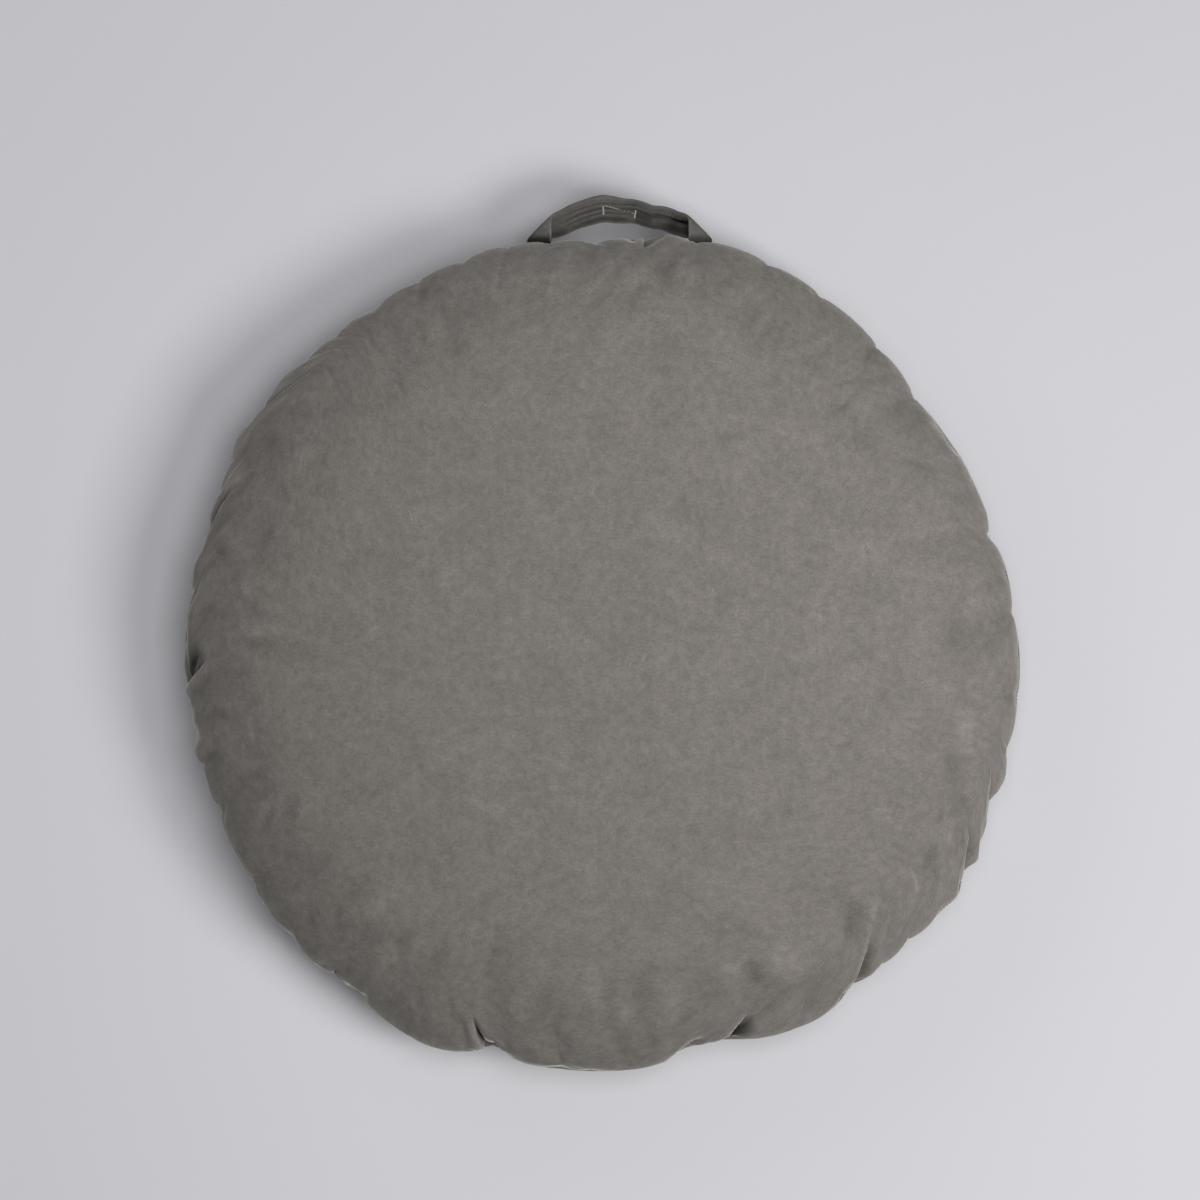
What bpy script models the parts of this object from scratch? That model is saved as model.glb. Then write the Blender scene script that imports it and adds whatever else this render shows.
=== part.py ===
"""A round floor pouf: two round velvet panels sewn edge to edge and filled, with a folded
strap handle caught in the rim seam.

Metres, +Z up. The origin is the middle of the flat patch that the pouf rests on, and +Y
points to the handle. Tables give angles in degrees, counted from +X towards +Y, and small
lengths in millimetres.
"""

import math
from typing import NamedTuple

import bmesh
import bpy
import numpy as np

MM = 0.001

# ---- the filled cushion ----------------------------------------------------------------

RIM_RADIUS = 0.3548
HEIGHT = 0.165
SEAM_HEIGHT = 0.072
FOOT_RADIUS = 0.215
CROWN_SHOULDER = 2.9     # how squarely the top panel turns down at its edge
SEAM_GROOVE = 2.5 * MM   # how far the stitches pull the seam in
SEAM_GROOVE_REACH = 4.0 * MM
FOLD_SHARPNESS = 1.3     # 1 is a knife crease, 2 a round trough
TROUGH_DEPTH = 0.15      # the soft trough round each gather, against its own pull
TROUGH_SPREAD = 2.5
TROUGH_RUN = 2.6
LEAN_WINDOW = 13.0       # degrees of rim that a leaning crease carries with it
LEAN_START = 12 * MM     # a crease climbs straight this far before it leans
LEAN_FADE = 130 * MM     # the lean dies away over this length past the crease's end
FLOOR_RUN = 0.8          # a crease runs this much as far down the bottom panel
SEAM_WANDER = 1.5 * MM
CROWN_SWAY = 2.5 * MM

COLUMN_PITCH = 1.75      # degrees between the mesh's columns at the seam
TOP_ROWS = (0, 4, 9, 15, 23, 33, 46, 62, 82)              # mm up the top panel, fine
CROWN_ROWS = (112, 150, 200, 260, 325)                    # mm, every second column
FLOOR_ROWS = (-4, -9, -15, -23, -33, -46, -62)            # mm down the bottom panel, fine
FOOT_ROWS = (-90, -125)                                   # mm, every second column
PROFILE_STEPS = 720


class Swell(NamedTuple):
    """One wave of the rim's uneven roundness."""

    waves: int
    height: float    # mm
    peak: float      # degrees times the number of waves


SWELLS = (
    Swell(1, 3.0, 164.0),
    Swell(2, 2.4, 216.5),
    Swell(3, 3.8, 260.0),
    Swell(4, 2.7, 263.0),
    Swell(5, 2.0, 36.4),
)


class Gather(NamedTuple):
    """One place where the seam gathers the panels into a fold."""

    turn: float      # degrees round the rim
    pull: float      # mm that the seam draws the cover in
    spread: float    # mm, half the fold's width along the rim
    run: float       # mm that the crease climbs the top panel
    lean: float      # degrees round the rim from its foot to its upper end


GATHERS = (
    Gather(5.5, 4, 10, 45, 0),
    Gather(17, 8, 10, 40, 2),
    Gather(29, 3, 12, 50, 0),
    Gather(39.5, 5, 13, 60, 2),
    Gather(48.5, 4, 10, 45, 0),
    Gather(59, 3, 12, 50, -1),
    Gather(67.5, 4, 10, 45, 0),
    Gather(77.3, 6, 11, 30, 0),
    Gather(84, 4, 8, 25, 0),
    Gather(91.8, 6, 9, 35, 0),
    Gather(97.6, 4, 9, 30, 0),
    Gather(103.5, 3, 9, 35, 0),
    Gather(108, 4, 10, 40, 0),
    Gather(116, 3, 11, 45, 0),
    Gather(124, 4, 11, 45, 0),
    Gather(130.5, 4, 10, 40, 0),
    Gather(137, 3, 10, 40, 0),
    Gather(144, 7, 9, 45, -5),
    Gather(153.5, 4, 9, 45, 0),
    Gather(158, 4, 9, 40, 0),
    Gather(162.5, 8, 10, 45, -5.5),
    Gather(172, 5, 10, 40, 0),
    Gather(181.3, 5, 6, 40, 0),
    Gather(190.5, 4, 10, 45, 0),
    Gather(196.3, 4, 9, 40, 0),
    Gather(202, 6, 10, 45, 0),
    Gather(213, 3, 11, 50, 0),
    Gather(222, 3, 10, 45, 0),
    Gather(229.5, 5, 8, 22, 0),
    Gather(233.5, 5, 8, 30, 0),
    Gather(248, 3, 9, 50, 0),
    Gather(254.5, 13, 10, 38, -5),
    Gather(264, 3, 12, 60, 0),
    Gather(273, 2, 12, 60, 0),
    Gather(281.5, 12, 12, 50, 0),
    Gather(287, 10, 9, 45, 6),
    Gather(297, 3, 11, 50, 0),
    Gather(308.5, 8, 11, 75, 8),
    Gather(318, 5, 10, 45, 0),
    Gather(328.8, 5, 8, 38, 6),
    Gather(339.3, 8, 9, 38, 3),
    Gather(347, 4, 10, 40, 0),
    Gather(354.5, 3, 10, 40, 0),
)

# Broad flats of the rim: no crease, only a place where it is less full.
FLATS = (
    Gather(37, 2, 45, 90, 0),
    Gather(90, 10, 62, 90, 0),
    Gather(160, 4, 45, 90, 0),
    Gather(212, 3, 70, 90, 0),
    Gather(231, 4, 30, 90, 0),
    Gather(255, 3, 22, 90, 0),
    Gather(286, 11, 45, 90, 0),
    Gather(311, 4, 38, 90, 0),
    Gather(342, 4, 60, 90, 0),
)

# ---- the strap handle ------------------------------------------------------------------

STRAP_WIDTH = 21.5 * MM
STRAP_THICKNESS = 3.0 * MM
STRAP_EDGE = 1.0 * MM        # how far its rounded edges are taken in
STRAP_CENTRE_X = 12.5 * MM   # the handle sits a little to the right of +Y
FOLD_RADIUS = 3.0 * MM       # of the strap's middle layer, where its ends turn over
STRAP_TURN = 47.0            # degrees between each fold line and the strap's chord
STRAP_END_SLOPE = 4.0        # degrees that the strap falls where it meets its folds
STRAP_ROLL = 15.0            # degrees that the middle leans outwards
TAB_HEIGHT = SEAM_HEIGHT     # the folded ends come out of the seam
TAB_END_Y = 338.0 * MM       # how deep in the seam they end
POCKET_GAP = 0.3 * MM
POCKET_FROM_ROW = 6          # the strap's row, counted from its middle, where a pocket starts


class Bend(NamedTuple):
    """One point of the strap's middle line, a flattened arch between its two folds."""

    along: float     # mm from the handle's centre
    out: float       # mm from the pouf's centre


STRAP_LINE = (
    Bend(-61.6, 361.8),
    Bend(-50.0, 363.6),
    Bend(-40.0, 367.8),
    Bend(-28.0, 371.8),
    Bend(-14.0, 374.6),
    Bend(0.0, 373.6),
    Bend(14.0, 372.6),
    Bend(26.5, 369.2),
    Bend(38.0, 366.4),
    Bend(48.0, 363.6),
    Bend(61.6, 361.8),
)

# ---- finishes --------------------------------------------------------------------------

VELVET_GREY = (0.190, 0.175, 0.162, 1.0)
STRAP_GREY = (0.150, 0.140, 0.130, 1.0)
CLOTH_ROUGHNESS = 0.95


def clear_scene():
    """Start from an empty file."""
    for thing in list(bpy.data.objects):
        bpy.data.objects.remove(thing, do_unlink=True)


def velvet(name, colour):
    """A plain matt cloth material."""
    material = bpy.data.materials.new(name)
    material.use_nodes = True
    shader = material.node_tree.nodes["Principled BSDF"]
    shader.inputs["Base Color"].default_value = colour
    shader.inputs["Roughness"].default_value = CLOTH_ROUGHNESS
    shader.inputs["Metallic"].default_value = 0.0
    return material


# ---- the cushion's shape ---------------------------------------------------------------


def profile():
    """The pouf's half section as arrays: length from the seam, radius share and height.

    The length is negative on the bottom panel, and the radius share is 1 at the seam.
    """
    swing = np.linspace(0.0, math.pi / 2, PROFILE_STEPS)
    foot_share = FOOT_RADIUS / RIM_RADIUS
    low_share = foot_share + (1 - foot_share) * np.cos(swing[::-1])
    low_height = SEAM_HEIGHT * (1 - np.sin(swing[::-1]))
    high_share = np.sin(swing[::-1]) ** (2 / CROWN_SHOULDER)
    high_height = SEAM_HEIGHT + (HEIGHT - SEAM_HEIGHT) * np.cos(swing[::-1])
    share = np.concatenate([low_share, high_share[1:]])
    height = np.concatenate([low_height, high_height[1:]])
    steps = np.hypot(np.diff(share) * RIM_RADIUS, np.diff(height))
    length = np.concatenate([[0.0], np.cumsum(steps)])
    return length - length[PROFILE_STEPS - 1], share, height


PROFILE_LENGTH, PROFILE_SHARE, PROFILE_HEIGHT = profile()
FOOT_CLIMB = PROFILE_LENGTH[0]


def arc_from(turn, centre):
    """Degrees from centre to turn, the short way round."""
    return (turn - centre + 180.0) % 360.0 - 180.0


def fade(distance, reach):
    """1 at nothing, falling smoothly to 0 at reach."""
    return 0.5 + 0.5 * np.cos(math.pi * np.clip(np.abs(distance) / reach, 0.0, 1.0))


def fold_pull(fold, turn, climb):
    """How far one gather draws the cover in, with the soft trough round it."""
    across = np.abs(np.radians(arc_from(turn, fold.turn))) * RIM_RADIUS / (fold.spread * MM)
    run = np.where(climb < 0, FLOOR_RUN, 1.0) * fold.run * MM
    crease = np.exp(-across**FOLD_SHARPNESS) * fade(climb, run)
    trough = np.exp(-((across / TROUGH_SPREAD) ** 2)) * fade(climb, run * TROUGH_RUN)
    return fold.pull * MM * ((1 - TROUGH_DEPTH) * crease + TROUGH_DEPTH * trough)


def flat_pull(flat, turn, climb):
    """How far a broad flat of the rim lies in."""
    across = np.radians(arc_from(turn, flat.turn)) * RIM_RADIUS / (flat.spread * MM)
    return flat.pull * MM * np.exp(-(across**2)) * fade(climb, flat.run * MM)


def lean_of(turn, climb):
    """Degrees that the cover's columns are carried round by the leaning creases."""
    total = np.zeros(np.broadcast(turn, climb).shape)
    climbed = np.abs(climb)
    for fold in GATHERS:
        if fold.lean:
            run = fold.run * MM
            window = fade(arc_from(turn, fold.turn), LEAN_WINDOW)
            rise = 1 - fade(np.maximum(climbed - LEAN_START, 0.0), run - LEAN_START)
            total = total + fold.lean * window * rise * fade(np.maximum(climbed - run, 0.0), LEAN_FADE)
    return total


def cover_points(turn, climb):
    """Points of the pouf's cover.

    turn is the angle in degrees of a column's foot on the seam, and climb the length from
    the seam along the panel, positive on the top one. Both are arrays, and so are X, Y, Z.
    """
    share = np.interp(climb, PROFILE_LENGTH, PROFILE_SHARE)
    height = np.interp(climb, PROFILE_LENGTH, PROFILE_HEIGHT)
    slope_out = np.gradient(PROFILE_SHARE * RIM_RADIUS, PROFILE_LENGTH)
    slope_up = np.gradient(PROFILE_HEIGHT, PROFILE_LENGTH)
    normal_out = np.interp(climb, PROFILE_LENGTH, slope_up)
    normal_up = -np.interp(climb, PROFILE_LENGTH, slope_out)

    angle = turn + lean_of(turn, climb)
    swell = sum(s.height * MM * np.cos(np.radians(s.waves * angle - s.peak)) for s in SWELLS)
    pull = sum(fold_pull(fold, turn, climb) for fold in GATHERS)
    pull = pull + sum(flat_pull(flat, turn, climb) for flat in FLATS)
    groove = SEAM_GROOVE * np.exp(-((climb / SEAM_GROOVE_REACH) ** 2))

    radius = share * RIM_RADIUS + swell * share**2 - pull * normal_out - groove
    wander = SEAM_WANDER * np.sin(np.radians(7 * angle)) * fade(climb, 40 * MM)
    sway = CROWN_SWAY * np.cos(np.radians(2 * angle - 80.0)) * 4 * share**2 * (1 - share**2)
    height = height - pull * normal_up + wander + np.where(climb > 0, sway, 0.0)
    return radius * np.cos(np.radians(angle)), radius * np.sin(np.radians(angle)), height


def column_turns():
    """The columns' angles: one on each crease, and an odd number between two of them."""
    turns = []
    for fold, following in zip(GATHERS, GATHERS[1:] + GATHERS[:1]):
        gap = (following.turn - fold.turn) % 360.0
        steps = 2 * max(1, round(gap / (2 * COLUMN_PITCH)))
        turns += [fold.turn + gap * step / steps for step in range(steps)]
    return np.array(turns)


def ring(mesh, turns, climb):
    """One closed ring of vertices at a length from the seam."""
    x, y, z = cover_points(turns, np.full(turns.shape, climb))
    return [mesh.verts.new(corner) for corner in zip(x, y, z)]


def join_rings(mesh, lower, upper):
    """Quads between two rings of the same count, facing out when lower is below."""
    count = len(lower)
    for i in range(count):
        j = (i + 1) % count
        mesh.faces.new((lower[i], lower[j], upper[j], upper[i]))


def halve_ring(mesh, fine, coarse, coarse_above):
    """Triangles between a ring and one with half as many vertices."""
    count = len(fine)
    for i in range(0, count, 2):
        start, middle, end = fine[i], fine[i + 1], fine[(i + 2) % count]
        near, far = coarse[i // 2], coarse[(i // 2 + 1) % len(coarse)]
        for face in ((start, middle, near), (middle, end, far), (middle, far, near)):
            mesh.faces.new(face if coarse_above else face[::-1])


def close_cushion_mesh(mesh):
    """Fill a mesh with the whole cushion: foot, bottom panel, top panel and crown."""
    fine = column_turns()
    coarse = fine[::2]
    rising = [ring(mesh, fine, row * MM) for row in FLOOR_ROWS[::-1] + TOP_ROWS]
    for lower, upper in zip(rising, rising[1:]):
        join_rings(mesh, lower, upper)

    crown = [ring(mesh, coarse, row * MM) for row in CROWN_ROWS]
    halve_ring(mesh, rising[-1], crown[0], True)
    for lower, upper in zip(crown, crown[1:]):
        join_rings(mesh, lower, upper)
    top = mesh.verts.new((0.0, 0.0, HEIGHT))
    for i, corner in enumerate(crown[-1]):
        mesh.faces.new((corner, crown[-1][(i + 1) % len(coarse)], top))

    foot = [ring(mesh, coarse, row * MM) for row in FOOT_ROWS]
    foot.append(ring(mesh, coarse, FOOT_CLIMB))
    halve_ring(mesh, rising[0], foot[0], False)
    for upper, lower in zip(foot, foot[1:]):
        join_rings(mesh, lower, upper)
    for corner in foot[-1]:
        corner.co.z = 0.0
    mesh.faces.new(foot[-1][::-1])


# ---- the strap's shape -----------------------------------------------------------------


def strap_line():
    """The strap's middle line laid flat: an even run of points, and their directions."""
    knots = np.array(STRAP_LINE) * MM
    spans = np.concatenate([[0.0], np.cumsum(np.hypot(*np.diff(knots, axis=0).T))])
    slope = math.tan(math.radians(STRAP_END_SLOPE))
    starts = np.array([1.0, slope]) / math.hypot(1.0, slope)
    ends = np.array([1.0, -slope]) / math.hypot(1.0, slope)
    tangents = np.gradient(knots, spans, axis=0)
    tangents[0], tangents[-1] = starts, ends
    points = []
    for i in range(len(knots) - 1):
        span = spans[i + 1] - spans[i]
        for t in np.linspace(0.0, 1.0, 24, endpoint=False):
            points.append(
                (2 * t**3 - 3 * t**2 + 1) * knots[i]
                + (t**3 - 2 * t**2 + t) * span * tangents[i]
                + (3 * t**2 - 2 * t**3) * knots[i + 1]
                + (t**3 - t**2) * span * tangents[i + 1]
            )
    points.append(knots[-1])
    points = np.array(points)
    length = np.concatenate([[0.0], np.cumsum(np.hypot(*np.diff(points, axis=0).T))])
    return length - length[-1] / 2, points


LINE_LENGTH, LINE_POINTS = strap_line()
FOLD_AT = LINE_LENGTH[-1]    # from the strap's middle to each fold, along its middle line


def line_point(along):
    """A point of the strap's laid-out middle line, which runs on straight past its folds."""
    held = min(max(along, -FOLD_AT), FOLD_AT)
    place = np.array([np.interp(held, LINE_LENGTH, LINE_POINTS[:, i]) for i in (0, 1)])
    slope = math.radians(STRAP_END_SLOPE)
    beyond = along - held
    return place + beyond * np.array([math.cos(slope), -math.copysign(math.sin(slope), along)])


def line_side(along):
    """The unit vector across the strap, outwards, at a place on its middle line."""
    step = 1.0 * MM
    run = line_point(along + step) - line_point(along - step)
    run /= np.hypot(*run)
    return np.array([-run[1], run[0]])


def strap_surface(along, across):
    """A point of the strap's middle layer, folded over at both ends."""
    flat = line_point(along) + across * line_side(along)
    inside = 1 - (1 - fade(along, FOLD_AT)) ** 2
    roll = -math.sin(math.radians(STRAP_ROLL)) * across * inside
    low = TAB_HEIGHT - 2 * FOLD_RADIUS
    side = math.copysign(1.0, along)
    turn = math.radians(STRAP_TURN)
    hinge = np.array([side * STRAP_LINE[-1].along, STRAP_LINE[-1].out]) * MM
    away = np.array([side * math.sin(turn), math.cos(turn)])
    past = float((flat - hinge) @ away)
    if past <= 0:
        return np.array([flat[0], flat[1], low + roll])
    around = min(past / FOLD_RADIUS, math.pi)
    reach = FOLD_RADIUS * math.sin(around) - max(past - math.pi * FOLD_RADIUS, 0.0)
    place = flat - past * away + reach * away
    return np.array([place[0], place[1], low + FOLD_RADIUS * (1 - math.cos(around)) + roll])


def strap_corner(along, across, lift):
    """A point at a height over the strap's middle layer, along its normal."""
    step = 0.05 * MM
    run = strap_surface(along + step, across) - strap_surface(along - step, across)
    side = strap_surface(along, across + step) - strap_surface(along, across - step)
    normal = np.cross(run, side)
    normal /= np.linalg.norm(normal)
    place = strap_surface(along, across) + lift * normal
    return (place[0] + STRAP_CENTRE_X, place[1], place[2])


def strap_section(grow):
    """The strap's cross-section as (across, lift) pairs, grown by a clearance."""
    half = STRAP_WIDTH / 2 + grow
    thick = STRAP_THICKNESS / 2 + grow
    inner = half - STRAP_EDGE
    edge = thick * 0.45
    lower = [(share * inner, -thick) for share in (-1.0, -0.33, 0.33, 1.0)]
    upper = [(share * inner, thick) for share in (1.0, 0.33, -0.33, -1.0)]
    return lower + [(half, -edge), (half, edge)] + upper + [(-half, edge), (-half, -edge)]


def strap_stations():
    """Rows across one half of the strap, from its middle to its tab's end.

    Each is (along, slant): its place on the middle line, and how far the row moves along
    the strap for each unit across it. The rows in the fold lie along the fold line.
    """
    crossing = math.radians(STRAP_TURN - STRAP_END_SLOPE)
    slant = -1 / math.tan(crossing)
    rows = [(share * FOLD_AT, 0.0) for share in (0.0, 0.11, 0.22, 0.33, 0.44)]
    rows += [(0.55 * FOLD_AT, 0.25 * slant), (0.66 * FOLD_AT, 0.5 * slant)]
    rows += [(0.77 * FOLD_AT, 0.75 * slant), (0.88 * FOLD_AT, slant)]
    rolled = math.pi * FOLD_RADIUS / math.sin(crossing)
    rows += [(FOLD_AT + rolled * share, slant) for share in (-0.1, 0, 0.2, 0.4, 0.6, 0.8, 1, 1.1)]
    slip = math.pi * FOLD_RADIUS / math.tan(crossing) * math.sin(math.radians(STRAP_TURN))
    tab = STRAP_LINE[-1].out * MM - slip - TAB_END_Y
    rows += [(FOLD_AT + rolled + 0.5 * tab, 0.5 * slant), (FOLD_AT + rolled + tab, 0.0)]
    return rows


def build_tube(mesh, rows, section):
    """A closed body through rows of corners, each the section at an (along, slant)."""
    rings = []
    for along, slant in rows:
        rings.append([
            mesh.verts.new(strap_corner(along + slant * across, across, lift))
            for across, lift in section
        ])
    for near, far in zip(rings, rings[1:]):
        join_rings(mesh, near, far)
    mesh.faces.new(rings[0][::-1])
    mesh.faces.new(rings[-1])


def mesh_object(name, fill, material):
    """A new object whose mesh is made by fill, smooth but for its sharp edges."""
    shape = bmesh.new()
    fill(shape)
    bmesh.ops.recalc_face_normals(shape, faces=shape.faces)
    mesh = bpy.data.meshes.new(name)
    shape.to_mesh(mesh)
    shape.free()
    mesh.shade_smooth()
    mesh.set_sharp_from_angle(angle=math.radians(50))
    thing = bpy.data.objects.new(name, mesh)
    bpy.context.scene.collection.objects.link(thing)
    if material is not None:
        mesh.materials.append(material)
    return thing


def add_pocket(cushion, name, side):
    """Cut the slot in the rim seam that holds one end of the strap, with a clearance."""
    rows = [(side * along, side * slant) for along, slant in strap_stations()[POCKET_FROM_ROW:]]
    rows[-1] = (rows[-1][0] + side * POCKET_GAP, 0.0)
    cutter = mesh_object(name, lambda mesh: build_tube(mesh, rows, strap_section(POCKET_GAP)), None)
    cutter.display_type = "WIRE"
    cutter.hide_render = True
    cut = cushion.modifiers.new(name, "BOOLEAN")
    cut.operation = "DIFFERENCE"
    cut.solver = "EXACT"
    cut.object = cutter


def main():
    """Build the cushion and its handle."""
    clear_scene()
    cushion = mesh_object("pouf_body", close_cushion_mesh, velvet("velvet", VELVET_GREY))
    half = strap_stations()
    rows = [(-along, -slant) for along, slant in half[:0:-1]] + half
    mesh_object(
        "strap_handle",
        lambda mesh: build_tube(mesh, rows, strap_section(0.0)),
        velvet("strap_velvet", STRAP_GREY),
    )
    add_pocket(cushion, "pocket_left", -1)
    add_pocket(cushion, "pocket_right", 1)


main()
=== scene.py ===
"""A round velvet floor pouf with a folded strap handle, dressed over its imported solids.

Metres, +Z up, in the frame of the solids: the pouf rests on the floor at the origin and +Y
points to the handle. Tables give angles in degrees from +X towards +Y, and small lengths in
millimetres.
"""

import logging
import math
from dataclasses import dataclass, field
from enum import Enum
from typing import Sequence

import bpy
import numpy as np
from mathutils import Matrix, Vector


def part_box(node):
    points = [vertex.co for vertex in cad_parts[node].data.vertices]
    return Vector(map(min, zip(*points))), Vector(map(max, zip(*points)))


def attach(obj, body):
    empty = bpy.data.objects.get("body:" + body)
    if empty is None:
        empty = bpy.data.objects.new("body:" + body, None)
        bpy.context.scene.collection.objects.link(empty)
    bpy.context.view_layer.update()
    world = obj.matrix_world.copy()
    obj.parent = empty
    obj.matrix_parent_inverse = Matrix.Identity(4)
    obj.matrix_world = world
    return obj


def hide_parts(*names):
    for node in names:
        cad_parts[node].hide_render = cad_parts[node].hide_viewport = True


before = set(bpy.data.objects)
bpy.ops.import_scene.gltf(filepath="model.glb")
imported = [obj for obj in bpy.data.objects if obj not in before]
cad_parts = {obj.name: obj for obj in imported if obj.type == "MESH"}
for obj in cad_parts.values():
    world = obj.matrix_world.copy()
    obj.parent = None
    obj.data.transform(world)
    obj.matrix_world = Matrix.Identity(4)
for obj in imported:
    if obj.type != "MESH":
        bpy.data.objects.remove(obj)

MM = 0.001
HAIR = 1e-6              # metres, too little to tell two columns of the cover apart
BODY = "root"
LOG = logging.getLogger("pouf")

Array = np.ndarray
Colour = tuple[float, float, float]
Place = tuple[float, float, float]
Socket = bpy.types.NodeSocket
Row = tuple[Array, Array, bool]


# ---- small tools -----------------------------------------------------------------------


def arc_from(turn: Array, centre: float) -> Array:
    """Degrees from centre to turn, the short way round."""
    return (turn - centre + 180.0) % 360.0 - 180.0


def fade(distance: Array | float, reach: Array | float) -> Array:
    """1 at nothing, falling smoothly to 0 at reach."""
    return 0.5 + 0.5 * np.cos(math.pi * np.clip(np.abs(distance) / reach, 0.0, 1.0))


def rise(value: Array | float, start: float, end: float) -> Array:
    """0 up to start, rising smoothly to 1 at end."""
    share = np.clip((value - start) / (end - start), 0.0, 1.0)
    return share * share * (3 - 2 * share)


def ladder(first: float, growth: float, widest: float, end: float) -> list[float]:
    """Steps from 0 to end that start small and grow.

    Args:
        first: The first step.
        growth: Each step's size against the one before it.
        widest: The widest step.
        end: The last value.

    Returns:
        The values, from 0 to end.
    """
    values, step = [0.0], first
    while values[-1] + 1.5 * step < end:     # so the last step is never under half a step
        values.append(values[-1] + step)
        step = min(step * growth, widest)
    return values + [end]


def link_new(name: str, data: bpy.types.ID) -> bpy.types.Object:
    """Make an object at the origin from its data, and put it in the scene.

    Args:
        name: The object's name.
        data: Its mesh, light or camera.

    Returns:
        The new object.
    """
    made = bpy.data.objects.new(name, data)
    bpy.context.scene.collection.objects.link(made)
    return made


class NodeGraph:
    """A short way to write node trees."""

    def __init__(self, tree: bpy.types.NodeTree) -> None:
        """Keep the tree that the nodes go in."""
        self.tree = tree

    def add(self, kind: str, settings: dict | None = None, **inputs: object) -> bpy.types.Node:
        """Add a node, set its properties, and set or link its inputs.

        Args:
            kind: The node's type name.
            settings: Properties of the node itself.
            **inputs: A value or a socket for each input, by its name with _ for a space.

        Returns:
            The new node.
        """
        node = self.tree.nodes.new(kind)
        for name, value in (settings or {}).items():
            setattr(node, name, value)
        self.fill(node, **inputs)
        return node

    def fill(self, node: bpy.types.Node, **inputs: object) -> None:
        """Set or link several inputs of a node, by their names with _ for a space."""
        for name, value in inputs.items():
            self.feed(node, name.replace("_", " "), value)

    def feed(self, node: bpy.types.Node, name: str | int, value: object) -> None:
        """Set one input of a node, or link a socket to it.

        Args:
            node: The node.
            name: The input's name or number.
            value: A value for it, or the socket that feeds it.
        """
        if isinstance(value, Socket):
            self.tree.links.new(value, node.inputs[name])
        else:
            node.inputs[name].default_value = value

    def math(self, operation: str, *values: object) -> Socket:
        """A math node's result.

        Args:
            operation: The node's operation.
            *values: A value or a socket for each of its inputs.

        Returns:
            The socket with the result.
        """
        node = self.add("ShaderNodeMath", {"operation": operation})
        for slot, value in enumerate(values):
            self.feed(node, slot, value)
        return node.outputs[0]

    def remap(self, value: object, low: float, high: float) -> Socket:
        """A 0 to 1 value spread over low to high."""
        node = self.add("ShaderNodeMapRange", Value=value, To_Min=low, To_Max=high)
        return node.outputs["Result"]

    def swing(self, value: object, share: float) -> Socket:
        """A 0 to 1 value spread evenly round 1, by a share each way."""
        return self.remap(value, 1 - share, 1 + share)

    def smooth(self, value: object, **ends: float) -> Socket:
        """A value spread smoothly between the ends of two ranges."""
        settings = {"interpolation_type": "SMOOTHSTEP"}
        return self.add("ShaderNodeMapRange", settings, Value=value, **ends).outputs["Result"]


# ---- finishes --------------------------------------------------------------------------


def new_material(name: str) -> tuple[bpy.types.Material, NodeGraph, bpy.types.Node]:
    """Start a node material.

    Args:
        name: The material's name.

    Returns:
        The material, its graph and its shader.
    """
    made = bpy.data.materials.new(name)
    made.use_nodes = True
    return made, NodeGraph(made.node_tree), made.node_tree.nodes["Principled BSDF"]


def dye(graph: NodeGraph, shader: bpy.types.Node, colour: Colour, tone: Socket) -> None:
    """Give a shader its colour.

    Args:
        graph: The material's graph.
        shader: The shader.
        colour: The plain colour.
        tone: How light it is at each place, 1 for the plain colour.
    """
    tinted = graph.add("ShaderNodeVectorMath", {"operation": "SCALE"}, Scale=tone)
    tinted.inputs[0].default_value = colour
    graph.feed(shader, "Base Color", tinted.outputs["Vector"])


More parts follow.
